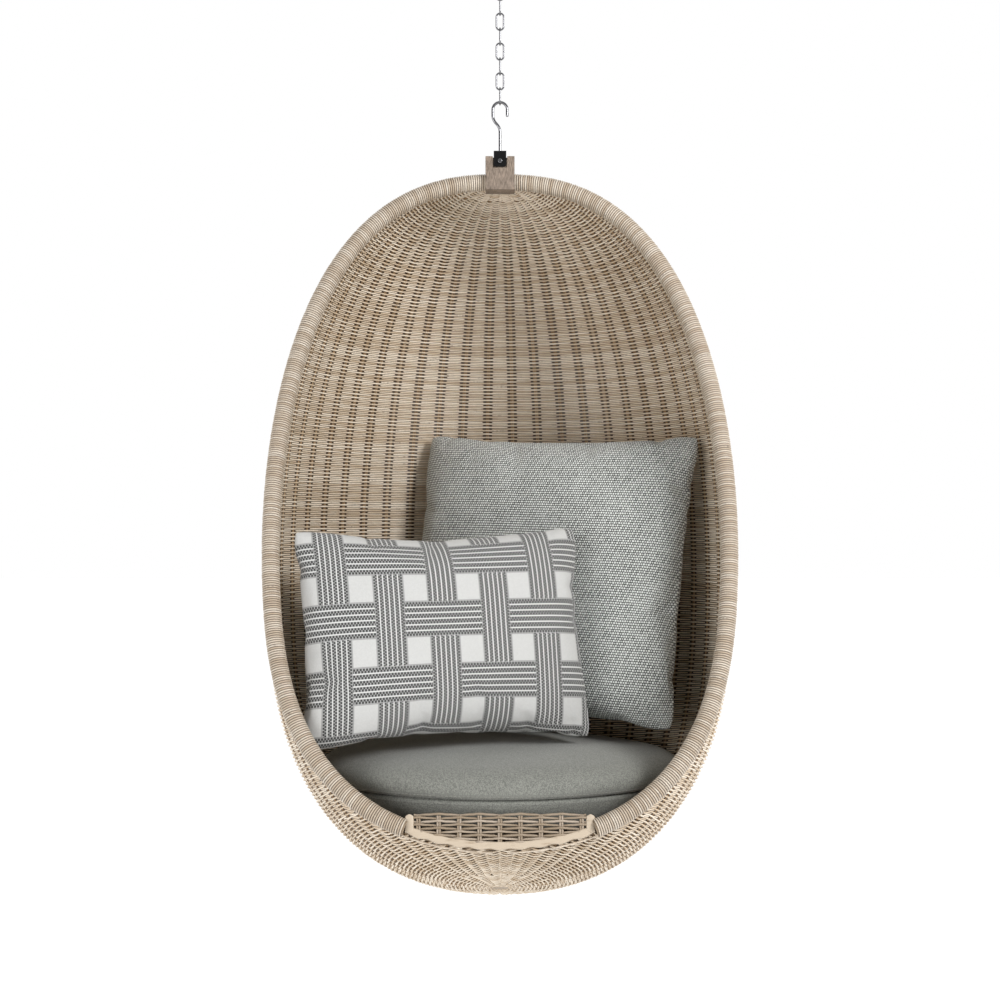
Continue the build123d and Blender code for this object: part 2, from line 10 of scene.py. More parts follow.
import bmesh
import bpy
import numpy as np
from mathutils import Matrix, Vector

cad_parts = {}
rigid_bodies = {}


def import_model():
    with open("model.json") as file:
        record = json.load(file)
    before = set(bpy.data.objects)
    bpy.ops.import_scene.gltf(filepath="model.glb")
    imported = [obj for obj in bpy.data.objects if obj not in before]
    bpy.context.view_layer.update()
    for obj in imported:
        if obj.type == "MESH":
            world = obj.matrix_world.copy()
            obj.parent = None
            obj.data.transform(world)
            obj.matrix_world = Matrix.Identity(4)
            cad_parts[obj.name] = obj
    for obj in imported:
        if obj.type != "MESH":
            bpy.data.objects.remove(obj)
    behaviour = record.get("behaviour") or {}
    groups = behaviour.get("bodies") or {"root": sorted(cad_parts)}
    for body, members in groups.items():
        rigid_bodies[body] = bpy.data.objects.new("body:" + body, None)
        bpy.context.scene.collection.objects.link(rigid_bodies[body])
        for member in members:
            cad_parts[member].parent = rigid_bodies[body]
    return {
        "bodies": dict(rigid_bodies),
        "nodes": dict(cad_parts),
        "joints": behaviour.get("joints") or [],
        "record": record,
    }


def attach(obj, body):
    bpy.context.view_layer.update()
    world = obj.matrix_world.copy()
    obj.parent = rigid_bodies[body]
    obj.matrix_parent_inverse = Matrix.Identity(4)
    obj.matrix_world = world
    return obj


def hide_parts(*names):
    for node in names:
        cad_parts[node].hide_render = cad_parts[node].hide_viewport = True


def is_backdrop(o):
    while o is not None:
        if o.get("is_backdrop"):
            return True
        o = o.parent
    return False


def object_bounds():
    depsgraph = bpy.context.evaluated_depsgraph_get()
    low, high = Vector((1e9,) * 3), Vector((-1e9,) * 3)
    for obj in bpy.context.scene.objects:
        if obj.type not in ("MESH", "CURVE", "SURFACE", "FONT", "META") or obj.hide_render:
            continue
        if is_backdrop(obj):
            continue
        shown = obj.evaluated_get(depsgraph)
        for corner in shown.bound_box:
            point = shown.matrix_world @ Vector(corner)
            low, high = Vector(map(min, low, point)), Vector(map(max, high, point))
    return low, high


LOG = logging.getLogger("egg_chair")
MM = 0.001
SEED = 11

Colour = tuple[float, float, float]
Place = tuple[float, float, float]
Socket = bpy.types.NodeSocket


def linear(red: int, green: int, blue: int) -> Colour:
    """Turns a display colour into the linear one that shaders use.

    Args:
        red: Red from 0 to 255.
        green: Green from 0 to 255.
        blue: Blue from 0 to 255.

    Returns:
        The three linear values from 0 to 1.
    """
    values = []
    for value in (red, green, blue):
        share = value / 255
        values.append(share / 12.92 if share <= 0.04045 else ((share + 0.055) / 1.055) ** 2.4)
    return values[0], values[1], values[2]


# --------------------------------------------------------------------------- shape of the egg


@dataclass(frozen=True)
class EggShape:
    """The egg's middle surface: rings stacked from the bottom pole to the top pole."""

    half_width: float = 400 * MM
    depth_ratio: float = 0.98
    top_z: float = -422 * MM
    widest_drop: float = 723 * MM
    pole_drop: float = 1239 * MM
    widest_y: float = -90 * MM
    pole_y: float = -128 * MM
    upper_power: float = 2.42
    lower_power: float = 2.46
    top_tilt: float = 5.0
    pole_tilt: float = 22.5
    mouth_slope: float = 0.266

    def ring(self, angle: np.ndarray) -> tuple[np.ndarray, np.ndarray, np.ndarray, np.ndarray]:
        """Half width, centre y, centre z and tilt of the rings at some angles.

        Args:
            angle: Ring angles in degrees, -90 at the bottom pole and 90 at the top one.

        Returns:
            Four arrays of the same shape, the tilt in radians.
        """
        angle = np.asarray(angle, float)
        rise = np.abs(np.sin(np.radians(angle)))
        spread = np.clip(np.cos(np.radians(angle)), 1e-6, 1)
        upper = angle >= 0
        share = np.where(upper, rise ** (2 / self.upper_power), rise ** (2 / self.lower_power))
        drop = self.pole_drop - self.widest_drop
        z = self.top_z - self.widest_drop + np.where(upper, self.widest_drop, -drop) * share
        y_up = self.widest_y * (1 - share**2 * (3 - 2 * share))
        y_down = self.widest_y + (self.pole_y - self.widest_y) * share**2
        tilt = np.radians(np.where(upper, self.top_tilt, self.pole_tilt) * share)
        width = self.half_width * np.where(
            upper, spread ** (2 / self.upper_power), spread ** (2 / self.lower_power)
        )
        return width, np.where(upper, y_up, y_down), z, tilt

    def slope_scale(self) -> float:
        """Distance down the sloping mouth plane for each unit of height."""
        return math.sqrt(1 + self.mouth_slope**2)

    def mouth_normal(self) -> np.ndarray:
        """Unit direction out of the mouth."""
        return np.array([0.0, -1.0, self.mouth_slope]) / self.slope_scale()

    def point(self, angle: np.ndarray, around: np.ndarray) -> np.ndarray:
        """Points on the surface.

        Args:
            angle: Ring angles in degrees.
            around: Degrees round the ring from the centre of the back, +90 at the right.

        Returns:
            An array of points, one row each.
        """
        width, y, z, tilt = self.ring(angle)
        turn = np.radians(around)
        back = self.depth_ratio * width * np.cos(turn)
        x = width * np.sin(turn)
        return np.stack(np.broadcast_arrays(x, y + back * np.cos(tilt), z - back * np.sin(tilt)), -1)

    def normal(self, angle: np.ndarray, around: np.ndarray) -> np.ndarray:
        """Outward unit normals of the surface at the same arguments as point."""
        step = 0.2
        low = np.clip(np.asarray(angle, float) - step, -89.9, 89.9)
        high = np.clip(np.asarray(angle, float) + step, -89.9, 89.9)
        up = self.point(high, around) - self.point(low, around)
        side = self.point(angle, np.asarray(around) + step) - self.point(angle, np.asarray(around) - step)
        out = np.cross(up, side)
        return out / np.maximum(np.linalg.norm(out, axis=-1, keepdims=True), 1e-12)

    def mouth_cosine(self, angle: np.ndarray, behind: float = 0.0) -> np.ndarray:
        """Cosine of `around` where rings meet the mouth plane moved back by `behind`.

        Below -1 a ring lies wholly behind the plane.
        """
        width, y, z, tilt = self.ring(angle)
        reach = self.depth_ratio * width * (np.cos(tilt) + self.mouth_slope * np.sin(tilt))
        shift = behind * self.slope_scale()
        return (shift - y - self.mouth_slope * (self.top_z - z)) / reach

    def closing_angle(self) -> float:
        """Ring angle of the lowest point of the mouth."""
        low, high = -88.0, 0.0
        for _ in range(50):
            middle = (low + high) / 2
            if float(self.mouth_cosine(np.array(middle))) > -1:
                high = middle
            else:
                low = middle
        return high

    def rim(self, half_gap: float, end_half: float, step: float) -> np.ndarray:
        """Evenly spaced rim centre points on the right side, from the block to the panel.

        Args:
            half_gap: Distance from the middle at which the line starts, at the top.
            end_half: Distance from the middle at which it ends, at the bottom.
            step: Distance between points.

        Returns:
            An array of points.
        """
        near_top = 90 - np.geomspace(0.02, 20, 400)
        angle = np.concatenate([near_top, np.linspace(69.9, self.closing_angle(), 3000)])
        cosine = np.clip(self.mouth_cosine(angle), -1, 1)
        line = self.point(angle, np.degrees(np.arccos(cosine)))
        top = line[:, 2] > self.top_z - 200 * MM
        keep = np.where(top, line[:, 0] > half_gap, line[:, 0] > end_half)
        line = line[keep]
        length = np.concatenate([[0], np.cumsum(np.linalg.norm(np.diff(line, axis=0), axis=1))])
        even = np.arange(0, length[-1], step)
        return np.stack([np.interp(even, length, line[:, i]) for i in range(3)], -1)

    def mouth_point(self, x: np.ndarray, down: np.ndarray) -> np.ndarray:
        """Points in the mouth plane, `down` being the distance down the slope from the top."""
        z = self.top_z - down / self.slope_scale()
        y = -self.mouth_slope * (self.top_z - z)
        return np.stack(np.broadcast_arrays(x, y, z), -1)

    def lower_edge(self, x: np.ndarray) -> np.ndarray:
        """Distance down the slope of the mouth's lower edge at some x."""
        angle = np.linspace(self.closing_angle(), -20, 1500)
        cosine = np.clip(self.mouth_cosine(angle), -1, 1)
        line = self.point(angle, np.degrees(np.arccos(cosine)))
        down = (self.top_z - line[:, 2]) * self.slope_scale()
        return np.interp(np.abs(x), line[:, 0], down)


EGG = EggShape()


# --------------------------------------------------------------------------- shader helpers


class Nodes:
    """Short calls that add and join shader nodes in one tree."""

    def __init__(self, tree: bpy.types.NodeTree) -> None:
        self.tree = tree

    def add(self, kind: str, **settings: object) -> bpy.types.Node:
        """Adds a node and sets its properties."""
        node = self.tree.nodes.new(kind)
        for name, value in settings.items():
            setattr(node, name, value)
        return node

    def feed(self, socket: Socket, value: object) -> None:
        """Joins a socket to another, or sets its constant."""
        if isinstance(value, Socket):
            self.tree.links.new(value, socket)
        elif isinstance(value, tuple) and len(value) == 3 and socket.type == "RGBA":
            socket.default_value = (*value, 1.0)
        else:
            socket.default_value = value

    def math(self, operation: str, first: object, second: object = 0.0) -> Socket:
        """One math node; the arguments are sockets or numbers."""
        node = self.add("ShaderNodeMath", operation=operation)
        for socket, value in zip(node.inputs, (first, second)):
            self.feed(socket, value)
        return node.outputs[0]

    def mix(self, share: object, first: object, second: object) -> Socket:
        """One colour mix."""
        node = self.add("ShaderNodeMix", data_type="RGBA")
        self.feed(node.inputs["Factor"], share)
        self.feed(node.inputs[6], first)
        self.feed(node.inputs[7], second)
        return node.outputs[2]

    def noise(self, vector: Socket, scale: float, detail: float = 2.0, rough: float = 0.5) -> Socket:
        """Noise value from 0 to 1 at a vector."""
        node = self.add("ShaderNodeTexNoise")
        self.feed(node.inputs["Vector"], vector)
        self.feed(node.inputs["Scale"], scale)
        self.feed(node.inputs["Detail"], detail)
        self.feed(node.inputs["Roughness"], rough)
        return node.outputs["Fac"]

    def span(self, value: object, low: float, high: float, to_low: float = 0.0,
             to_high: float = 1.0) -> Socket:
        """Maps a value smoothly from one range to another, clamped."""
        node = self.add("ShaderNodeMapRange", interpolation_type="SMOOTHSTEP")
        for index, item in enumerate((value, low, high, to_low, to_high)):
            self.feed(node.inputs[index], item)
        return node.outputs[0]

    def attribute(self, name: str) -> bpy.types.Node:
        """A mesh attribute."""
        return self.add("ShaderNodeAttribute", attribute_type="GEOMETRY", attribute_name=name)

    def bump(self, height: object, distance: float, strength: float = 1.0) -> Socket:
        """A bumped normal."""
        node = self.add("ShaderNodeBump")
        self.feed(node.inputs["Height"], height)
        self.feed(node.inputs["Distance"], distance)
        self.feed(node.inputs["Strength"], strength)
        return node.outputs[0]


Group = tuple[bpy.types.NodeTree, Nodes, bpy.types.Node, bpy.types.Node]


def new_group(name: str, inputs: dict[str, str], outputs: dict[str, str]) -> Group:
    """Makes an empty shader node group with named sockets.

    Args:
        name: Name of the group.
        inputs: Socket type of each input, by name.
        outputs: Socket type of each output, by name.

    Returns:
        The tree, the calls to build on it, its input node and its output node.
    """
    tree = bpy.data.node_groups.new(name, "ShaderNodeTree")
    for label, kind in inputs.items():
        tree.interface.new_socket(name=label, in_out="INPUT", socket_type=kind)
    for label, kind in outputs.items():
        tree.interface.new_socket(name=label, in_out="OUTPUT", socket_type=kind)
    start = tree.nodes.new("NodeGroupInput")
    end = tree.nodes.new("NodeGroupOutput")
    return tree, Nodes(tree), start, end


def strand_group() -> bpy.types.NodeTree:
    """Mottled colour and fine ribs along one synthetic strand, with painted shade from the `gap` attribute
    where it lies deep between others.
    """
    tree, n, start, end = new_group(
        "strand_colour",
        {"Light": "NodeSocketColor", "Middle": "NodeSocketColor", "Dark": "NodeSocketColor",
         "Spread": "NodeSocketFloat"},
        {"Color": "NodeSocketColor", "Height": "NodeSocketFloat"},
    )
    along = n.attribute("along").outputs["Fac"]
    tone = n.attribute("tone").outputs["Fac"]
    place = n.add("ShaderNodeCombineXYZ")
    n.feed(place.inputs[0], n.math("MULTIPLY", along, 22.0))
    n.feed(place.inputs[1], n.math("MULTIPLY", tone, 90.0))
    mottle = n.noise(place.outputs[0], 1.0, 3.0, 0.55)
    fine_place = n.add("ShaderNodeCombineXYZ")
    n.feed(fine_place.inputs[0], n.math("MULTIPLY", along, 240.0))
    n.feed(fine_place.inputs[1], n.math("MULTIPLY", tone, 330.0))
    fine = n.noise(fine_place.outputs[0], 1.0, 2.0, 0.6)
    shade = n.math("ADD", n.math("MULTIPLY", tone, start.outputs["Spread"]), n.math("MULTIPLY", mottle, 0.75))
    light = n.span(shade, 0.3, 0.85)
    base = n.mix(light, start.outputs["Middle"], start.outputs["Light"])
    streak = n.math("MULTIPLY", n.span(mottle, 0.56, 0.72), n.span(fine, 0.35, 0.7))
    streaked = n.mix(n.math("MULTIPLY", streak, 0.6), base, start.outputs["Dark"])
    # painted shade: the colour is pushed toward Dark where the strand lies deep between others
    gap = n.attribute("gap").outputs["Fac"]
    colour = n.mix(n.math("MULTIPLY", gap, 0.9), streaked, start.outputs["Dark"])
    n.feed(end.inputs["Color"], colour)
    n.feed(end.inputs["Height"], fine)
    return tree


def basket_group() -> bpy.types.NodeTree:
    """Staggered over and under threads of a cloth, from metric texture coordinates."""
    tree, n, start, end = new_group(
        "basket_cloth",
        {"Vector": "NodeSocketVector", "Thread": "NodeSocketFloat"},
        {"Mask": "NodeSocketFloat", "Height": "NodeSocketFloat", "Speckle": "NodeSocketFloat"},
    )
    split = n.add("ShaderNodeSeparateXYZ")
    n.feed(split.inputs[0], start.outputs["Vector"])
    wobble = n.noise(start.outputs["Vector"], 60.0, 2.0)
    shift = n.math("MULTIPLY", n.math("SUBTRACT", wobble, 0.5), 0.35)
    v = n.math("SUBTRACT", n.math("DIVIDE", split.outputs[1], start.outputs["Thread"]), shift)
    stagger = n.math("MULTIPLY", n.math("FLOOR", v), 0.5)
    moved = n.math("ADD", shift, stagger)
    u = n.math("ADD", n.math("DIVIDE", split.outputs[0], start.outputs["Thread"]), moved)
    parity = n.math("MODULO", n.math("ADD", n.math("FLOOR", u), n.math("FLOOR", v)), 2.0)
    over = n.math("ABSOLUTE", parity)
    across_u = n.math("ABSOLUTE", n.math("SINE", n.math("MULTIPLY", u, math.pi)))
    across_v = n.math("ABSOLUTE", n.math("SINE", n.math("MULTIPLY", v, math.pi)))
    grain = n.math("POWER", n.math("MULTIPLY", across_u, across_v), 0.55)
    height = n.math("MULTIPLY", grain, n.math("ADD", 0.74, n.math("MULTIPLY", over, 0.26)))
    cell = n.add("ShaderNodeCombineXYZ")
    n.feed(cell.inputs[0], n.math("FLOOR", u))
    n.feed(cell.inputs[1], n.math("FLOOR", v))
    white = n.add("ShaderNodeTexWhiteNoise", noise_dimensions="2D")
    n.feed(white.inputs["Vector"], cell.outputs[0])
    n.feed(end.inputs["Mask"], over)
    n.feed(end.inputs["Height"], height)
    n.feed(end.inputs["Speckle"], white.outputs["Value"])
    return tree


def band_group() -> bpy.types.NodeTree:
    """Interlaced bands of fine lines, over and under by turns."""
    tree, n, start, end = new_group(
        "interlaced_bands",
        {"Vector": "NodeSocketVector"},
        {label: "NodeSocketFloat" for label in ("Band", "Line", "Dots", "Edge")},
    )
    split = n.add("ShaderNodeSeparateXYZ")
    n.feed(split.inputs[0], start.outputs["Vector"])
    pitch_u, pitch_v, half_u, half_v = 91 * MM, 107.7 * MM, 25 * MM, 30 * MM
    u = n.math("DIVIDE", split.outputs[0], pitch_u)
    v = n.math("DIVIDE", split.outputs[1], pitch_v)
    cell_u, cell_v = n.math("FLOOR", u), n.math("FLOOR", v)
    off_u = n.math("MULTIPLY", n.math("SUBTRACT", n.math("SUBTRACT", u, cell_u), 0.5), pitch_u)
    off_v = n.math("MULTIPLY", n.math("SUBTRACT", n.math("SUBTRACT", v, cell_v), 0.5), pitch_v)
    in_u = n.math("LESS_THAN", n.math("ABSOLUTE", off_u), half_u)
    in_v = n.math("LESS_THAN", n.math("ABSOLUTE", off_v), half_v)
    parity = n.math("ABSOLUTE", n.math("MODULO", n.math("ADD", cell_u, cell_v), 2.0))
    u_over = n.math("MULTIPLY", in_u, n.math("MAXIMUM", n.math("SUBTRACT", 1.0, in_v), parity))
    v_over = n.math("MULTIPLY", in_v, n.math("SUBTRACT", 1.0, u_over))

    def lines(across: object, length: object, reach: float) -> tuple[object, object]:
        """White lines and the dotted rows between them across one band."""
        row = n.math("DIVIDE", n.math("ADD", across, reach), 2 * reach / 6)
        wave = n.math("ABSOLUTE", n.math("SINE", n.math("MULTIPLY", row, math.pi)))
        lower = n.math("LESS_THAN", n.math("SINE", n.math("MULTIPLY", row, 2 * math.pi)), 0.0)
        step = n.math("ADD", n.math("DIVIDE", length, 5.2 * MM), n.math("MULTIPLY", lower, 0.5))
        dotted = n.math("ABSOLUTE", n.math("SINE", n.math("MULTIPLY", step, math.pi)))
        line = n.span(wave, 0.22, 0.5, 1.0, 0.0)
        dark = n.math("MULTIPLY", n.math("SUBTRACT", 1.0, line), n.span(dotted, 0.3, 0.65, 0.32, 1.0))
        return line, dark

    line_u, dots_u = lines(off_u, split.outputs[1], half_u)
    line_v, dots_v = lines(off_v, split.outputs[0], half_v)
    band = n.math("MAXIMUM", u_over, v_over)
    line = n.math("ADD", n.math("MULTIPLY", u_over, line_u), n.math("MULTIPLY", v_over, line_v))
    dots = n.math("ADD", n.math("MULTIPLY", u_over, dots_u), n.math("MULTIPLY", v_over, dots_v))

    def near(off: Socket, half: float) -> Socket:
        """How near a point lies to the edge of its band."""
        away = n.math("ABSOLUTE", n.math("SUBTRACT", n.math("ABSOLUTE", off), half))
        return n.span(away, 0.0, 2.2 * MM, 1.0, 0.0)

    near_u, near_v = near(off_u, half_u), near(off_v, half_v)
    edge_u = n.math("MULTIPLY", near_u, n.math("SUBTRACT", 1.0, v_over))
    edge_v = n.math("MULTIPLY", near_v, n.math("SUBTRACT", 1.0, u_over))
    n.feed(end.inputs["Band"], band)
    n.feed(end.inputs["Line"], line)
    n.feed(end.inputs["Dots"], dots)
    n.feed(end.inputs["Edge"], n.math("MAXIMUM", edge_u, edge_v))
    return tree


def new_material(name: str) -> tuple[bpy.types.Material, Nodes, bpy.types.Node]:
    """A material with one Principled shader, and the calls to build on it."""
    material = bpy.data.materials.new(name)
    material.use_nodes = True
    n = Nodes(material.node_tree)
    return material, n, material.node_tree.nodes["Principled BSDF"]


@dataclass(frozen=True)
class StrandFinish:
    """Synthetic wicker strand."""

    name: str
    light: Colour
    middle: Colour
    dark: Colour
    rough: float = 0.46
    spread: float = 0.4

    def build(self, group: bpy.types.NodeTree) -> bpy.types.Material:
        """Makes the material."""
        material, n, shader = new_material(self.name)
        strand = n.add("ShaderNodeGroup", node_tree=group)
        n.feed(strand.inputs["Light"], self.light)
        n.feed(strand.inputs["Middle"], self.middle)
        n.feed(strand.inputs["Dark"], self.dark)
        n.feed(strand.inputs["Spread"], self.spread)
        n.feed(shader.inputs["Base Color"], strand.outputs["Color"])
        n.feed(shader.inputs["Roughness"], self.rough)
        n.feed(shader.inputs["Specular IOR Level"], 0.42)
        n.feed(shader.inputs["Normal"], n.bump(strand.outputs["Height"], 0.25 * MM, 0.5))
        return material


@dataclass(frozen=True)
class MetalFinish:
    """Plated or painted steel."""

    name: str
    colour: Colour
    rough: float
    metallic: float = 1.0
    grain: float = 900.0
    specular: float = 0.5

    def build(self) -> bpy.types.Material:
        """Makes the material."""
        material, n, shader = new_material(self.name)
        place = n.add("ShaderNodeTexCoord").outputs["Object"]
        smear = n.noise(place, 45.0, 3.0)
        grain = n.noise(place, self.grain, 2.0)
        worn = n.span(smear, 0.35, 0.7, 0.86, 1.0)
        n.feed(shader.inputs["Base Color"], n.mix(worn, tuple(c * 0.75 for c in self.colour), self.colour))
        n.feed(shader.inputs["Metallic"], self.metallic)
        n.feed(shader.inputs["Specular IOR Level"], self.specular)
        n.feed(shader.inputs["Roughness"], n.span(smear, 0.2, 0.8, self.rough * 0.8, self.rough * 1.25))
        n.feed(shader.inputs["Normal"], n.bump(grain, 0.05 * MM, 0.3))
        return material


@dataclass(frozen=True)
class GrainFinish:
    """Fine diagonal grain of the taupe hanger block."""

    name: str
    light: Colour
    dark: Colour

    def build(self) -> bpy.types.Material:
        """Makes the material."""
        material, n, shader = new_material(self.name)
        place = n.add("ShaderNodeTexCoord").outputs["Object"]
        mapping = n.add("ShaderNodeMapping")
        n.feed(mapping.inputs["Vector"], place)
        mapping.inputs["Rotation"].default_value = (0.0, math.radians(38), 0.0)
        mapping.inputs["Scale"].default_value = (1400.0, 320.0, 90.0)
        grain = n.noise(mapping.outputs[0], 1.0, 4.0, 0.6)
        cloud = n.noise(place, 40.0, 2.0)
        blend = n.math("ADD", n.math("MULTIPLY", grain, 0.8), n.math("MULTIPLY", cloud, 0.2))
        share = n.span(blend, 0.36, 0.64)
        n.feed(shader.inputs["Base Color"], n.mix(share, self.dark, self.light))
        n.feed(shader.inputs["Roughness"], 0.55)
        n.feed(shader.inputs["Normal"], n.bump(grain, 0.25 * MM, 0.6))
        return material


@dataclass(frozen=True)
class StripFinish:
    """Smooth flat strip of the front panel."""

    name: str
    colour: Colour
    streak: Colour

    def build(self) -> bpy.types.Material:
        """Makes the material."""
        material, n, shader = new_material(self.name)
        place = n.add("ShaderNodeTexCoord").outputs["Object"]
        mapping = n.add("ShaderNodeMapping")
        n.feed(mapping.inputs["Vector"], place)
        mapping.inputs["Scale"].default_value = (30.0, 260.0, 260.0)
        long = n.noise(mapping.outputs[0], 1.0, 3.0)
        cloud = n.noise(place, 55.0, 3.0)
        share = n.math("MULTIPLY", n.span(long, 0.5, 0.75), n.span(cloud, 0.4, 0.7))
        n.feed(shader.inputs["Base Color"], n.mix(share, self.colour, self.streak))
        n.feed(shader.inputs["Roughness"], 0.42)
        n.feed(shader.inputs["Normal"], n.bump(long, 0.2 * MM, 0.4))
        return material


@dataclass(frozen=True)
class ClothFinish:
    """Plain cloth with visible threads, with painted shade in the hollows between them."""

    name: str
    light: Colour
    dark: Colour
    thread: float
    speckle: float
    bump_depth: float

    def build(self, basket: bpy.types.NodeTree) -> bpy.types.Material:
        """Makes the material."""
        material, n, shader = new_material(self.name)
        uv = n.add("ShaderNodeUVMap", uv_map="cloth").outputs[0]
        cloth = n.add("ShaderNodeGroup", node_tree=basket)
        n.feed(cloth.inputs["Vector"], uv)
        n.feed(cloth.inputs["Thread"], self.thread)
        cloud = n.noise(uv, 14.0, 3.0)
        # partly painted shade: the colour follows the thread height, dark in the hollows between threads; the
        # random speckle and cloud are the yarn's own tone
        value = n.math("ADD", n.math("MULTIPLY", cloth.outputs["Speckle"], self.speckle),
                       n.math("MULTIPLY", cloth.outputs["Height"], 1 - self.speckle))
        value = n.math("ADD", value, n.math("MULTIPLY", n.math("SUBTRACT", cloud, 0.5), 0.14))
        n.feed(shader.inputs["Base Color"], n.mix(n.span(value, 0.18, 0.8), self.dark, self.light))
        n.feed(shader.inputs["Roughness"], 0.92)
        n.feed(shader.inputs["Specular IOR Level"], 0.2)
        n.feed(shader.inputs["Sheen Weight"], 0.25)
        n.feed(shader.inputs["Sheen Roughness"], 0.5)
        n.feed(shader.inputs["Normal"], n.bump(cloth.outputs["Height"], self.bump_depth, 0.7))
        return material


@dataclass(frozen=True)
class BandFinish:
    """Pale cloth with interlaced bands of fine lines."""

    name: str
    ground: Colour
    white: Colour
    dark: Colour

    def build(self, bands: bpy.types.NodeTree, basket: bpy.types.NodeTree) -> bpy.types.Material:
        """Makes the material."""
        material, n, shader = new_material(self.name)
        uv = n.add("ShaderNodeUVMap", uv_map="cloth").outputs[0]
        pattern = n.add("ShaderNodeGroup", node_tree=bands)
        n.feed(pattern.inputs["Vector"], uv)
        cloth = n.add("ShaderNodeGroup", node_tree=basket)
        n.feed(cloth.inputs["Vector"], uv)
        n.feed(cloth.inputs["Thread"], 1.3 * MM)
        ground = n.mix(n.span(cloth.outputs["Speckle"], 0.0, 1.0, 0.0, 0.35), self.ground, self.white)
        white = n.math("MULTIPLY", pattern.outputs["Band"], pattern.outputs["Line"])
        lined = n.mix(white, ground, self.white)
        dotted = n.mix(n.math("MULTIPLY", pattern.outputs["Dots"], 0.9), lined, self.dark)
        edged = n.mix(n.math("MULTIPLY", pattern.outputs["Edge"], 0.5), dotted, self.dark)
        n.feed(shader.inputs["Base Color"], edged)
        n.feed(shader.inputs["Roughness"], 0.9)
        n.feed(shader.inputs["Specular IOR Level"], 0.2)
        n.feed(shader.inputs["Sheen Weight"], 0.2)
        height = n.math("ADD", n.math("MULTIPLY", cloth.outputs["Height"], 0.4), pattern.outputs["Line"])
        n.feed(shader.inputs["Normal"], n.bump(height, 0.5 * MM, 0.6))
        return material


class Palette:
    """Every finish of the chair, by name."""

    def __init__(self) -> None:
        strand, basket, bands = strand_group(), basket_group(), band_group()
        self.weave = StrandFinish(
            "wicker_weave", linear(233, 221, 203), linear(196, 176, 150), linear(96, 70, 44)
        ).build(strand)
        # painted shade: the panel strands use a darker copy of the woven strand colours
        self.panel = StrandFinish(
            "wicker_panel", linear(171, 157, 141), linear(137, 120, 99), linear(70, 50, 33)
        ).build(strand)
        # painted shade: the stakes are coloured darker than the rows to stand for the shade in the recesses
        # behind them
        self.stake = StrandFinish(
            "wicker_stake", linear(168, 142, 108), linear(128, 100, 68), linear(70, 48, 28)
        ).build(strand)
        # painted shade: dark brown colour of the sheet inside the weave, standing for the shade seen through
        # gaps between strands
        self.core = StripFinish("wicker_gap_shade_sheet", linear(66, 48, 32), linear(40, 28, 18)).build()
        # the wrap's very dark colour is what the painted shade in the grooves between wraps reaches
        self.wrap = StrandFinish(
            "wicker_wrap", linear(228, 217, 201), linear(186, 168, 146), linear(56, 40, 28), spread=0.3
        ).build(strand)
        self.strip = StripFinish("wicker_strip", linear(186, 171, 151), linear(146, 126, 102)).build()
        # painted reflection: the very dark base colour stands in for the dark studio that the plated parts
        # reflect
        self.chrome = MetalFinish("bright_steel", (0.2, 0.2, 0.21), 0.12).build()
        self.black = MetalFinish("black_steel", (0.004, 0.004, 0.0045), 0.5, 0.0, specular=0.12).build()
        self.frame = MetalFinish("frame_steel", linear(150, 132, 110), 0.45, 0.2).build()
        self.plastic = MetalFinish("bush_plastic", (0.02, 0.02, 0.02), 0.6, 0.0).build()
        self.block = GrainFinish("taupe_block", linear(152, 135, 120), linear(70, 60, 50)).build()
        self.seat = ClothFinish(
            "dark_grey_fabric", linear(134, 135, 128), linear(100, 101, 96), 1.3 * MM, 0.6, 0.12 * MM
        ).build(basket)
        # the near-black dark is mostly painted shade in the hollows between the coarse threads, partly the
        # dark yarn speckle
        self.heather = ClothFinish(
            "heather_grey_fabric", linear(216, 219, 215), linear(8, 10, 9), 4.4 * MM, 0.12, 2.2 * MM
        ).build(basket)
        self.banded = BandFinish(
            "striped_fabric", linear(184, 184, 182), linear(200, 200, 198), linear(8, 10, 11)
        ).build(bands, basket)
        self.thread = ClothFinish(
            "seam_thread", linear(160, 160, 153), linear(128, 128, 122), 0.6 * MM, 0.3, 0.1 * MM
        ).build(basket)


# --------------------------------------------------------------------------- strands as meshes


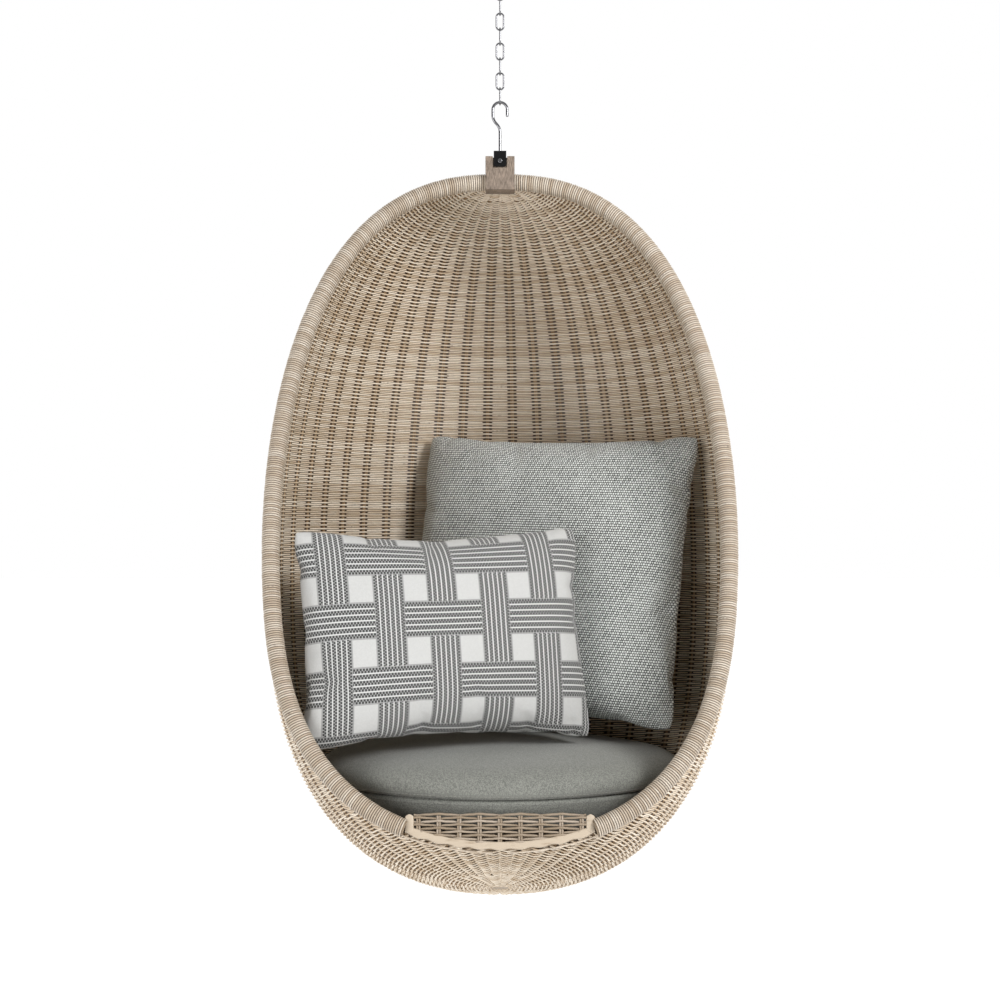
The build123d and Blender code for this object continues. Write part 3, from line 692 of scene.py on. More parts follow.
@dataclass
class StrandMesh:
    """Collects round strands and turns them into one mesh."""

    sides: int = 6
    points: list[np.ndarray] = field(default_factory=list)
    faces: list[np.ndarray] = field(default_factory=list)
    along: list[np.ndarray] = field(default_factory=list)
    tone: list[np.ndarray] = field(default_factory=list)
    gap: list[np.ndarray] = field(default_factory=list)
    count: int = 0

    def add(self, line: np.ndarray, out: np.ndarray, radius: np.ndarray | float, tone: float,
            closed: bool = False, start: float = 0.0, gap: np.ndarray | float = 0.0) -> None:
        """Adds one strand.

        Args:
            line: Points along its middle.
            out: A direction off the line at each point.
            radius: Its radius, or one at each point.
            tone: A number from 0 to 1 that sets its shade.
            closed: Whether the last point joins the first.
            start: Length at the first point, for the colour to run on.
            gap: How deep each point lies between others, from 0 to 1; the strand colour darkens with it as
                painted shade.
        """
        if len(line) < 2:
            return
        if closed:
            tangent = np.roll(line, -1, 0) - np.roll(line, 1, 0)
        else:
            tangent = np.gradient(line, axis=0)
        tangent /= np.maximum(np.linalg.norm(tangent, axis=1, keepdims=True), 1e-12)
        side = np.cross(tangent, out)
        side /= np.maximum(np.linalg.norm(side, axis=1, keepdims=True), 1e-12)
        lift = np.cross(side, tangent)
        turn = np.arange(self.sides) * 2 * math.pi / self.sides
        size = np.broadcast_to(np.asarray(radius, float), (len(line),))[:, None, None]
        ring = np.cos(turn)[None, :, None] * lift[:, None] + np.sin(turn)[None, :, None] * side[:, None]
        self.points.append((line[:, None] + ring * size).reshape(-1, 3))
        rows = len(line)
        self.faces.append(tube_quads(rows, self.sides, closed) + self.count)
        gone = np.concatenate([[0], np.cumsum(np.linalg.norm(np.diff(line, axis=0), axis=1))]) + start
        self.along.append(np.repeat(gone, self.sides))
        self.tone.append(np.full(rows * self.sides, tone))
        self.gap.append(np.repeat(np.broadcast_to(np.asarray(gap, float), (rows,)), self.sides))
        self.count += rows * self.sides

    def build(self, name: str, material: bpy.types.Material) -> bpy.types.Object:
        """Makes the object from what was added."""
        mesh = make_mesh(name, np.concatenate(self.points), np.concatenate(self.faces))
        store(mesh, "along", np.concatenate(self.along))
        store(mesh, "tone", np.concatenate(self.tone))
        store(mesh, "gap", np.concatenate(self.gap))
        return make_object(name, mesh, material)


def tube_quads(rows: int, sides: int, closed: bool = False) -> np.ndarray:
    """Faces between rings of points, the last ring joined to the first when closed."""
    first = np.arange(rows if closed else rows - 1)[:, None]
    following = (first + 1) % rows
    j = np.arange(sides)
    k = (j + 1) % sides
    corners = [first * sides + j, first * sides + k, following * sides + k, following * sides + j]
    return np.stack(corners, -1).reshape(-1, 4)


def apply_modifier(made: bpy.types.Object, modifier: bpy.types.Modifier) -> None:
    """Applies one modifier to its object."""
    with bpy.context.temp_override(object=made, active_object=made, selected_objects=[made]):
        bpy.ops.object.modifier_apply(modifier=modifier.name)


def store(mesh: bpy.types.Mesh, name: str, values: np.ndarray) -> None:
    """Keeps one number per point on a mesh."""
    attribute = mesh.attributes.new(name, "FLOAT", "POINT")
    attribute.data.foreach_set("value", values.astype(np.float32))


def make_mesh(name: str, points: np.ndarray, quads: np.ndarray) -> bpy.types.Mesh:
    """Makes a smooth mesh of four-sided faces."""
    mesh = bpy.data.meshes.new(name)
    mesh.vertices.add(len(points))
    mesh.vertices.foreach_set("co", points.astype(np.float32).ravel())
    mesh.loops.add(len(quads) * 4)
    mesh.loops.foreach_set("vertex_index", quads.astype(np.int32).ravel())
    mesh.polygons.add(len(quads))
    mesh.polygons.foreach_set("loop_start", np.arange(0, len(quads) * 4, 4, dtype=np.int32))
    mesh.polygons.foreach_set("loop_total", np.full(len(quads), 4, dtype=np.int32))
    mesh.update(calc_edges=True)
    mesh.validate()
    mesh.shade_smooth()
    return mesh


def make_object(name: str, mesh: bpy.types.Mesh, material: bpy.types.Material) -> bpy.types.Object:
    """Links a mesh into the scene with one material."""
    made = bpy.data.objects.new(name, mesh)
    made.data.materials.append(material)
    bpy.context.scene.collection.objects.link(made)
    return made


# --------------------------------------------------------------------------- woven egg


@dataclass(frozen=True)
class WovenShell:
    """The egg's wicker: stakes from pole to pole and strands that pass over and under them."""

    stakes: int = 48
    row_pitch: float = 3.6 * MM
    strand: float = 1.62 * MM
    stake: float = 1.6 * MM
    swing: float = 3.3 * MM
    bow: float = 7.5 * MM
    tuck: float = 11 * MM
    bands: int = 7

    def levels(self) -> np.ndarray:
        """Ring angles of the rows, evenly spaced up the egg's side."""
        angle = np.linspace(-88.9, 89.2, 4000)
        line = EGG.point(angle, np.full_like(angle, 90.0))
        gone = np.concatenate([[0], np.cumsum(np.linalg.norm(np.diff(line, axis=0), axis=1))])
        return np.interp(np.arange(0, gone[-1], self.row_pitch), gone, angle)

    def rows(self, material: bpy.types.Material) -> list[bpy.types.Object]:
        """The woven strands, as bands one above the other."""
        chance = np.random.default_rng(SEED)
        levels = self.levels()
        made = []
        edges = np.linspace(0, len(levels), self.bands + 1).astype(int)
        for band in range(self.bands):
            mesh = StrandMesh(sides=5)
            for row in range(edges[band], edges[band + 1]):
                self.add_row(mesh, row, float(levels[row]), chance)
            made.append(mesh.build(f"woven_rows_{band + 1}", material))
        return made

    def add_row(self, mesh: StrandMesh, row: int, level: float, chance: np.random.Generator) -> None:
        """Adds one row: it lies flush between stakes and bows round each one."""
        width = float(EGG.ring(np.array(level))[0])
        stakes = self.stakes if width > 95 * MM else self.stakes // 2
        gap = 360 / stakes
        cosine = float(EGG.mouth_cosine(np.array(level), self.tuck))
        if cosine >= 1:
            return
        closed = cosine <= -1
        limit = 180.0 if closed else math.degrees(math.acos(cosine))
        bow = math.degrees(self.bow / width)
        if gap > 3.6 * bow:
            spread = np.array([-1.5, -0.72, 0.0, 0.72, 1.5]) * bow
        else:
            spread = np.array([-0.25, 0.0, 0.25]) * gap
        middles = (np.arange(-stakes // 2, stakes // 2) + 0.5) * gap
        around = (middles[:, None] + spread[None]).ravel()
        sign = np.repeat(np.where(np.arange(len(middles)) % 2, 1.0, -1.0), len(spread)) * (-1) ** row
        lift = np.tile(np.exp(-((spread / bow) ** 2)), len(middles)) * sign
        if not closed:
            inside = np.abs(around) < limit
            around = np.concatenate([[-limit], around[inside], [limit]])
            lift = np.concatenate([[0.0], lift[inside], [0.0]])
        swing = self.swing * min(1.0, width / (30 * MM))
        jitter = chance.normal(0, 0.1 * MM, len(around))
        line = EGG.point(np.full_like(around, level), around)
        out = EGG.normal(np.full_like(around, level), around)
        line = line + out * (lift * swing + jitter)[:, None]
        mesh.add(line, out, self.strand, float(chance.random()), closed, float(chance.random()) * 5)

    def core(self, material: bpy.types.Material) -> bpy.types.Object:
        """Dark sheet in the middle of the weave: painted shade that shows through the gaps between the rows.
        """
        level = np.concatenate([np.linspace(-88.8, -30, 60), np.linspace(-29, 88.8, 70)])
        share = np.linspace(-1, 1, 97)
        limit = np.degrees(np.arccos(np.clip(EGG.mouth_cosine(level, self.tuck + 1 * MM), -1, 1)))
        inside = EGG.mouth_cosine(level, self.tuck + 1 * MM) < 1
        level, limit = level[inside], limit[inside]
        grid_level = np.repeat(level[:, None], len(share), 1)
        points = EGG.point(grid_level, limit[:, None] * share[None])
        rows, columns = grid_level.shape
        i, j = np.meshgrid(np.arange(rows - 1), np.arange(columns - 1), indexing="ij")
        a = (i * columns + j).ravel()
        quads = np.stack([a, a + 1, a + columns + 1, a + columns], -1)
        made = make_object("woven_gap_shade_sheet", make_mesh("woven_gap_shade_sheet", points.reshape(-1, 3), quads), material)
        thick = made.modifiers.new("thickness", "SOLIDIFY")
        thick.thickness = 0.8 * MM
        thick.offset = 0.0
        apply_modifier(made, thick)
        return made

    def stake_lines(self, material: bpy.types.Material) -> bpy.types.Object:
        """The double stakes that the rows pass over and under."""
        chance = np.random.default_rng(SEED + 1)
        mesh = StrandMesh(sides=6)
        level = np.linspace(-88.0, 88.5, 90)
        limit = np.degrees(np.arccos(np.clip(EGG.mouth_cosine(level, self.tuck), -1, 1)))
        for number in range(self.stakes):
            around = -180 + (number + 0.5) * 360 / self.stakes
            inside = abs(around) < limit
            inside &= EGG.mouth_cosine(level, self.tuck) < 1
            if inside.sum() < 3:
                continue
            chosen = level[inside]
            line = EGG.point(chosen, np.full_like(chosen, around))
            out = EGG.normal(chosen, np.full_like(chosen, around))
            tangent = np.gradient(line, axis=0)
            side = np.cross(tangent, out)
            side /= np.linalg.norm(side, axis=1, keepdims=True)
            width = EGG.ring(chosen)[0]
            spread = np.minimum(1.75 * MM, width * math.pi / self.stakes * 0.45)
            size = np.minimum(self.stake, width * 0.03 + 0.4 * MM)
            for sign in (-1, 1):
                mesh.add(line + side * (sign * spread)[:, None], out, size, float(chance.random()), False,
                         float(chance.random()) * 5)
        return mesh.build("woven_stakes", material)


@dataclass(frozen=True)
class RimWrap:
    """Strand wound tightly round the rim tube, and the cord laid along its back edge."""

    pitch: float = 3.9 * MM
    core: float = 12.8 * MM
    ridge: float = 2.8 * MM
    sides: int = 20
    block_half: float = 26.2 * MM
    panel_half: float = 155 * MM

    def build(self, side: int, name: str, material: bpy.types.Material) -> bpy.types.Object:
        """Winds one side of the rim."""
        chance = np.random.default_rng(SEED + 5 + side)
        fine = EGG.rim(self.block_half, self.panel_half, 0.5 * MM)
        length = np.arange(len(fine)) * 0.5 * MM
        wraps = int(length[-1] / self.pitch)
        part = np.array([0.0, 0.2, 0.5, 0.8])
        lift = np.array([0.0, 0.72, 1.0, 0.72])
        place = (np.arange(wraps)[:, None] + part[None]).ravel() * self.pitch
        line = np.stack([np.interp(place, length, fine[:, i]) for i in range(3)], -1)
        line[:, 0] *= side
        tangent = np.gradient(line, axis=0)
        tangent /= np.linalg.norm(tangent, axis=1, keepdims=True)
        across = np.array([0.0, 1.0, -EGG.mouth_slope]) / math.hypot(1, EGG.mouth_slope)
        outward = np.cross(tangent, np.broadcast_to(across, tangent.shape)) * -side
        turn = np.arange(self.sides) * 2 * math.pi / self.sides
        uneven = np.repeat(chance.normal(0, 0.12 * MM, wraps), 4)
        size = self.core + self.ridge * np.tile(lift, wraps) + uneven
        ring = np.cos(turn)[None, :, None] * outward[:, None]
        ring = ring + np.sin(turn)[None, :, None] * across[None, None]
        lean = (np.sin(turn) * 0.4 * self.pitch)[None, :, None]
        points = line[:, None] + ring * size[:, None, None] + tangent[:, None] * lean
        quads = tube_quads(len(line), self.sides)
        if side > 0:
            quads = quads[:, ::-1]
        mesh = make_mesh(name, points.reshape(-1, 3), quads)
        tone = np.repeat(chance.random(wraps), 4)
        store(mesh, "tone", np.repeat(tone, self.sides))
        # painted shade: gap is 1 in the grooves between wraps and 0 on the ridges, darkening the colour in
        # the grooves
        store(mesh, "gap", np.repeat(np.tile([1.0, 0.45, 0.0, 0.45], wraps), self.sides))
        run = turn * self.core
        store(mesh, "along", (np.repeat(chance.random(wraps) * 4, 4)[:, None] + run[None]).ravel())
        return make_object(name, mesh, material)

    def edge_cord(self, material: bpy.types.Material) -> bpy.types.Object:
        """The pale cord where the wrap meets the weave outside."""
        mesh = StrandMesh(sides=8)
        behind = 15.5 * MM
        angle = np.linspace(EGG.closing_angle() - 3, 84.5, 700)
        cosine = EGG.mouth_cosine(angle, behind)
        keep = np.abs(cosine) < 1
        angle, cosine = angle[keep], cosine[keep]
        for number, side in enumerate((-1, 1)):
            around = side * np.degrees(np.arccos(cosine))
            out = EGG.normal(angle, around)
            line = EGG.point(angle, around) + out * 3.4 * MM
            mesh.add(line, out, 1.9 * MM, 0.6 + 0.05 * number)
        return mesh.build("rim_edge_cord", material)


@dataclass(frozen=True)
class FrontPanel:
    """Open weave of wavy strands over double stakes below the cushion."""

    pitch: float = 33.3 * MM
    row: float = 5.6 * MM
    half: float = 141 * MM
    top: float = 1078 * MM
    strand: float = 1.95 * MM
    stake: float = 1.8 * MM
    stake_spread: float = 1.9 * MM
    bow: float = 9 * MM
    swing: float = 2.7 * MM

    def build(self, material: bpy.types.Material) -> bpy.types.Object:
        """Makes the weavers and the stakes."""
        chance = np.random.default_rng(SEED + 9)
        mesh = StrandMesh(sides=8)
        out = EGG.mouth_normal()
        first = self.top * EGG.slope_scale() + 13 * MM
        x = np.linspace(-self.half, self.half, 121)
        floor = EGG.lower_edge(x) - 3 * MM
        for number in range(-1, 14):
            down = first + number * self.row
            nearest = np.round(x / self.pitch)
            side = np.where((nearest + number) % 2, -1.0, 1.0)
            wave = np.exp(-(((x - nearest * self.pitch) / self.bow) ** 2)) * side
            sag = -1.1 * MM * wave
            inside = floor > down
            if inside.sum() < 3:
                break
            uneven = chance.normal(0, 0.1 * MM, len(x))
            line = EGG.mouth_point(x, down + sag + uneven) + out * (wave * self.swing)[:, None]
            line = line[inside]
            mesh.add(line, np.broadcast_to(out, line.shape), self.strand, float(chance.random()), False,
                     float(chance.random()))
        for number in range(-4, 5):
            for sign in (-1, 1):
                place = number * self.pitch + sign * self.stake_spread
                end = float(EGG.lower_edge(np.array(place)))
                down = np.linspace(first - 4 * MM, end - 2 * MM, 12)
                line = EGG.mouth_point(np.full_like(down, place), down)
                mesh.add(line, np.broadcast_to(out, line.shape), self.stake, float(chance.random()))
        return mesh.build("panel_strands", material)


@dataclass(frozen=True)
class PanelFrame:
    """Rounded side strips and the scalloped bottom strip of the front panel."""

    half: float = 155 * MM
    width: float = 14.5 * MM
    top: float = 1085 * MM
    pitch: float = 33.3 * MM
    scallop: float = 0.9 * MM
    lower_half: float = 6.2 * MM
    side_depth: float = 4.2 * MM
    lower_depth: float = 3.6 * MM
    sides: int = 16

    def sweep(self, name: str, line: np.ndarray, side: np.ndarray, half_width: np.ndarray, depth: float,
              material: bpy.types.Material) -> bpy.types.Object:
        """Sweeps a rounded flat section along a line in the mouth plane.

        Args:
            name: Name of the piece.
            line: Points along the middle.
            side: Direction across the strip at each point.
            half_width: Half its width at each point.
            depth: Half its thickness.
            material: Its finish.

        Returns:
            The finished object.
        """
        out = EGG.mouth_normal()
        turn = np.arange(self.sides) * 2 * math.pi / self.sides
        wide = np.sign(np.cos(turn)) * np.abs(np.cos(turn)) ** 0.6
        deep = np.sign(np.sin(turn)) * np.abs(np.sin(turn)) ** 0.6
        ring = side[:, None] * (half_width[:, None] * wide[None])[..., None]
        ring = ring + out * (depth * deep)[None, :, None]
        points = (line[:, None] + ring).reshape(-1, 3)
        return make_object(name, make_mesh(name, points, tube_quads(len(line), self.sides)), material)

    def side(self, sign: int, name: str, material: bpy.types.Material) -> bpy.types.Object:
        """One side strip, rounded off at its ends."""
        x = sign * (self.half - self.width / 2)
        end = float(EGG.lower_edge(np.array(abs(x)))) + 4 * MM
        down = np.linspace(self.top * EGG.slope_scale(), end, 30)
        part = np.linspace(0, 1, 30)
        taper = np.clip(np.minimum(part, 1 - part) / 0.12, 0.05, 1) ** 0.5
        line = EGG.mouth_point(np.full_like(down, x), down)
        across = np.tile([1.0, 0.0, 0.0], (30, 1))
        return self.sweep(name, line, across, self.width / 2 * taper, self.side_depth, material)

    def bottom(self, name: str, material: bpy.types.Material) -> bpy.types.Object:
        """The bottom strip, its edge scalloped by the stakes that pass behind it."""
        x = np.linspace(-self.half + 2 * MM, self.half - 2 * MM, 150)
        scallop = self.scallop * np.cos(2 * math.pi * x / self.pitch)
        line = EGG.mouth_point(x, EGG.lower_edge(x) + 0.5 * MM + scallop * 0.5)
        tangent = np.gradient(line, axis=0)
        tangent /= np.linalg.norm(tangent, axis=1, keepdims=True)
        out = EGG.mouth_normal()
        across = np.cross(tangent, np.broadcast_to(out, tangent.shape))
        return self.sweep(name, line, across, self.lower_half + scallop, self.lower_depth, material)


# --------------------------------------------------------------------------- cushions


def set_uv(mesh: bpy.types.Mesh, values: np.ndarray) -> None:
    """Writes one texture coordinate per face corner."""
    layer = mesh.uv_layers.new(name="cloth")
    layer.data.foreach_set("uv", values.astype(np.float32).ravel())


@dataclass(frozen=True)
class SeatCushion:
    """Round boxed cushion with a crowned top, a stitched seam and a side band."""

    node: str = "seat_cushion"
    half_w: float = 311.4 * MM
    half_d: float = 257.6 * MM
    centre_y: float = -24.4 * MM
    base_z: float = -1546 * MM
    seam_rise: float = 60 * MM
    crown: float = 67 * MM
    base_share: float = 0.8518
    around: int = 240
    stitch_pitch: float = 6.5 * MM

    def profile(self) -> tuple[np.ndarray, np.ndarray]:
        """Share of the outline and height above the base, from the crown to the middle below."""
        dome = np.linspace(0, 0.86, 16)
        share = list(dome)
        height = list(self.seam_rise + self.crown * (1 - 0.24 * (dome / 0.86) ** 2.4))
        side = np.array([0.9, 0.94, 0.972, 0.996, 1.012, 1.023, 1.029, 1.03, 1.026, 1.017, 1.005])
        drop = np.array([0.725, 0.675, 0.615, 0.545, 0.475, 0.4, 0.32, 0.235, 0.15, 0.08, 0.03])
        share += list(side)
        height += list(self.seam_rise + self.crown * drop)
        share += [0.992, 0.972, 0.974, 0.995]
        height += [self.seam_rise + shift for shift in (1.5 * MM, 0.0, -1.2 * MM, -3 * MM)]
        for part in np.linspace(0.08, 1, 12):
            bulge = 0.012 * math.sin(math.pi * part)
            share.append(0.995 - (0.995 - self.base_share) * part**1.3 + bulge)
            height.append((self.seam_rise - 3 * MM) * (1 - part))
        share += [self.base_share - 0.02, 0.6, 0.3, 0.0]
        height += [0.0, 0.0, 0.0, 0.0]
        return np.array(share), np.array(height)

    def build(self, material: bpy.types.Material) -> bpy.types.Object:
        """Makes the cushion."""
        share, height = self.profile()
        turn = np.arange(self.around) * 2 * math.pi / self.around
        grid_share, grid_turn = np.meshgrid(share, turn, indexing="ij")
        grid_height = np.repeat(height[:, None], self.around, 1)
        x = self.half_w * grid_share * np.cos(grid_turn)
        y = self.centre_y + self.half_d * grid_share * np.sin(grid_turn)
        crowned = grid_height > self.seam_rise
        soft = np.sin(x * 17 + 1.3) * np.sin(y * 14 + 0.4) + 0.5 * np.sin(x * 31 - y * 23)
        pucker = np.exp(-np.abs(1 - grid_share) / 0.05) * np.sin(grid_turn * 61 + 2 * np.sin(grid_turn * 7))
        uneven = soft * 1.6 * MM * np.clip(1 - grid_share**6, 0, 1) + pucker * 0.25 * MM
        z = self.base_z + grid_height + np.where(crowned, uneven, 0)
        points = np.stack([x, y, z], -1).reshape(-1, 3)
        quads = tube_quads(len(share), self.around)[:, [0, 3, 2, 1]]
        mesh = make_mesh("round_seat_cushion", points, quads)
        corner = np.zeros(len(mesh.loops), np.int32)
        mesh.loops.foreach_get("vertex_index", corner)
        seam_row = int(np.argmin(np.where(height >= self.seam_rise, share * -1, 1)))
        row = corner // self.around
        steps = np.hypot(np.diff(share) * self.half_w, np.diff(height))
        reach = np.concatenate([[0.0], np.cumsum(steps)])[row]
        angle = turn[corner % self.around]
        flat = np.stack([reach * np.cos(angle), reach * self.half_d / self.half_w * np.sin(angle)], -1)
        band = np.stack([turn[corner % self.around] * self.half_w, points[corner][:, 2]], -1)
        set_uv(mesh, np.where((row <= seam_row + 1)[:, None], flat, band))
        made = make_object("round_seat_cushion", mesh, material)
        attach(made, "cushion")
        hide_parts(self.node)
        return made

    def stitches(self, material: bpy.types.Material) -> bpy.types.Object:
        """Two rows of top stitches, one above the seam and one below it."""
        mesh = StrandMesh(sides=6)
        share, height = self.profile()
        seam = self.seam_rise
        perimeter = math.pi * (self.half_w + self.half_d)
        count = int(perimeter / self.stitch_pitch)
        for rise, radius in ((6.5 * MM, 0.7 * MM), (-7.5 * MM, 0.6 * MM)):
            side = (height > seam) & (share > 0.95) if rise > 0 else (height < seam) & (height > 0)
            order = np.argsort(height[side])
            scale = float(np.interp(seam + rise, height[side][order], share[side][order]))
            for number in range(count):
                middle = 2 * math.pi * number / count
                turn = middle + np.linspace(-0.31, 0.31, 5) * 2 * math.pi / count
                x = self.half_w * scale * np.cos(turn)
                y = self.centre_y + self.half_d * scale * np.sin(turn)
                line = np.stack([x, y, np.full_like(x, self.base_z + seam + rise)], -1)
                out = np.stack([np.cos(turn), np.sin(turn), np.full_like(turn, 0.8 if rise > 0 else 0.0)], -1)
                out /= np.linalg.norm(out, axis=1, keepdims=True)
                lift = np.array([-0.4, 0.35, 0.6, 0.35, -0.4]) * MM
                mesh.add(line + out * lift[:, None], out, radius, number % 7 / 7)
        made = mesh.build("seat_cushion_stitches", material)
        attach(made, "cushion")
        return made


@dataclass(frozen=True)
class Pillow:
    """Loose stuffed pillow: two sheets sewn at their edges and blown up."""

    name: str
    node: str
    body: str
    slot: str
    centre: Place
    yaw: float
    lean: float
    width: float
    height: float
    thickness: float
    fill: float
    roll: float = 0.0
    pull: tuple[float, float] = (0.02, 0.02)
    crease: float = 4 * MM
    cell: float = 6.5 * MM
    uv_shift: tuple[float, float] = (0.0, 0.0)

    def swollen(self, u: np.ndarray, v: np.ndarray) -> np.ndarray:
        """Half thickness over the pillow, u and v running from -1 to 1."""
        edge = (1 - np.abs(u) ** 3.2) * (1 - np.abs(v) ** 3.2)
        return self.thickness / 2 * edge**0.52

    def sheets(self) -> bpy.types.Object:
        """Two swollen grids joined along their edges, with metric texture coordinates."""
        nx, ny = int(self.width / self.cell), int(self.height / self.cell)
        us = np.sin(np.linspace(-1, 1, nx + 1) * 1.35) / math.sin(1.35)
        vs = np.sin(np.linspace(-1, 1, ny + 1) * 1.35) / math.sin(1.35)
        u, v = np.meshgrid(us, vs, indexing="ij")
        rounding = 1 - 0.035 * np.abs(u * v) ** 9
        x = u * self.width / 2 * (1 - self.pull[0] * (1 - v**2)) * rounding
        y = v * self.height / 2 * (1 - self.pull[1] * (1 - u**2)) * rounding
        half = self.swollen(u, v)
        chance = np.random.default_rng(SEED + len(self.name))
        fold = self.folds(u, v, chance)
        front = np.stack([x, y, half + fold], -1).reshape(-1, 3)
        back = np.stack([x, y, -half], -1).reshape(-1, 3)
        i, j = np.meshgrid(np.arange(nx), np.arange(ny), indexing="ij")
        a = (i * (ny + 1) + j).ravel()
        b = a + ny + 1
        quads = np.stack([a, b, b + 1, a + 1], -1)
        rear = quads[:, ::-1] + len(front)
        mesh = make_mesh(self.name, np.concatenate([front, back]), np.concatenate([quads, rear]))
        corner = np.zeros(len(mesh.loops), np.int32)
        mesh.loops.foreach_get("vertex_index", corner)
        flat = np.stack([
            u * self.width / 2 + self.uv_shift[0], v * self.height / 2 + self.uv_shift[1]], -1)
        flat = flat.reshape(-1, 2)
        set_uv(mesh, np.concatenate([flat, flat])[corner])
        made = bpy.data.objects.new(self.name, mesh)
        bpy.context.scene.collection.objects.link(made)
        sewn = bmesh.new()
        sewn.from_mesh(mesh)
        bmesh.ops.remove_doubles(sewn, verts=sewn.verts, dist=0.05 * MM)
        sewn.to_mesh(mesh)
        sewn.free()
        mesh.shade_smooth()
        return made

    def folds(self, u: np.ndarray, v: np.ndarray, chance: np.random.Generator) -> np.ndarray:
        """Short creases that run in from the seams."""
        total = np.zeros_like(u)
        for _ in range(26):
            side = chance.integers(0, 4)
            place = float(chance.uniform(-0.9, 0.9))
            reach = float(chance.uniform(0.12, 0.34))
            width = float(chance.uniform(0.018, 0.04))
            lean = float(chance.uniform(-0.35, 0.35))
            along, across = (u, v) if side < 2 else (v, u)
            inward = 1 - across * (1 if side % 2 else -1)
            line = along - place - lean * inward
            strength = float(chance.uniform(0.5, 1.0)) * np.exp(-inward / reach)
            strength = strength * (1 - np.exp(-inward / 0.03))
            total -= strength * np.exp(-((line / width) ** 2))
        return total * self.crease * (1 - np.abs(u) ** 12) * (1 - np.abs(v) ** 12)

    def blow_up(self, made: bpy.types.Object, frames: int = 14, limit: float = 16 * MM) -> None:
        """Lets the sewn sheets settle by cloth pressure and keeps the result."""
        before = np.zeros(len(made.data.vertices) * 3)
        made.data.vertices.foreach_get("co", before)
        cloth = made.modifiers.new("fill", "CLOTH")
        settings = cloth.settings
        settings.quality = 6
        settings.mass = 0.3
        settings.tension_stiffness = 30
        settings.compression_stiffness = 12
        settings.shear_stiffness = 8
        settings.bending_stiffness = 0.4
        settings.air_damping = 2.0
        settings.shrink_min = -0.012
        settings.use_pressure = True
        settings.uniform_pressure_force = 3.0
        settings.effector_weights.gravity = 0
        cloth.collision_settings.use_collision = False
        cloth.point_cache.frame_start = 1
        cloth.point_cache.frame_end = frames
        scene = bpy.context.scene
        for frame in range(1, frames + 1):
            scene.frame_set(frame)
        graph = bpy.context.evaluated_depsgraph_get()
        blown = bpy.data.meshes.new_from_object(
            made.evaluated_get(graph), preserve_all_data_layers=True, depsgraph=graph)
        made.modifiers.clear()
        made.data = blown
        blown.name = self.name
        scene.frame_set(1)
        after = np.zeros_like(before)
        blown.vertices.foreach_get("co", after)
        before, after = before.reshape(-1, 3), after.reshape(-1, 3)
        move = after - before
        size = np.linalg.norm(move, axis=1, keepdims=True)
        LOG.info("%s settled by up to %.1f mm", self.name, float(size.max() * 1000))
        after = before + move * np.minimum(1, limit / np.maximum(size, 1e-9))
        blown.vertices.foreach_set("co", after.astype(np.float32).ravel())

    def build(self, material: bpy.types.Material) -> bpy.types.Object:
        """Makes the pillow in its place on the seat."""
        made = self.sheets()
        count = len(made.data.vertices)
        self.blow_up(made)
        points = np.zeros(count * 3)
        made.data.vertices.foreach_get("co", points)
        points = points.reshape(-1, 3)
        points -= (points.max(0) + points.min(0)) / 2
        size = points.max(0) - points.min(0)
        LOG.info("%s blown up to %s", self.name, np.round(size * 1000))
        points *= np.array([self.width, self.height, self.thickness]) / size
        turn, tip, roll = math.radians(self.yaw), math.radians(self.lean), math.radians(self.roll)
        right = np.array([math.cos(turn), -math.sin(turn), 0.0])
        front = np.array([-math.sin(turn) * math.cos(tip), -math.cos(turn) * math.cos(tip), math.sin(tip)])
        up = np.cross(front, right)
        flat = points[:, :2] @ np.array([[math.cos(roll), math.sin(roll)], [-math.sin(roll), math.cos(roll)]])
        placed = np.array(self.centre) + flat[:, :1] * right + flat[:, 1:2] * up + points[:, 2:] * front
        made.data.vertices.foreach_set("co", placed.astype(np.float32).ravel())
        made.data.update()
        made.data.materials.clear()
        made.data.materials.append(material)
        smooth = made.modifiers.new("round", "SUBSURF")
        smooth.levels = 1
        smooth.render_levels = 1
        apply_modifier(made, smooth)
        made.data.shade_smooth()
        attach(made, self.body)
        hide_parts(self.node)
        return made


# --------------------------------------------------------------------------- the whole scene


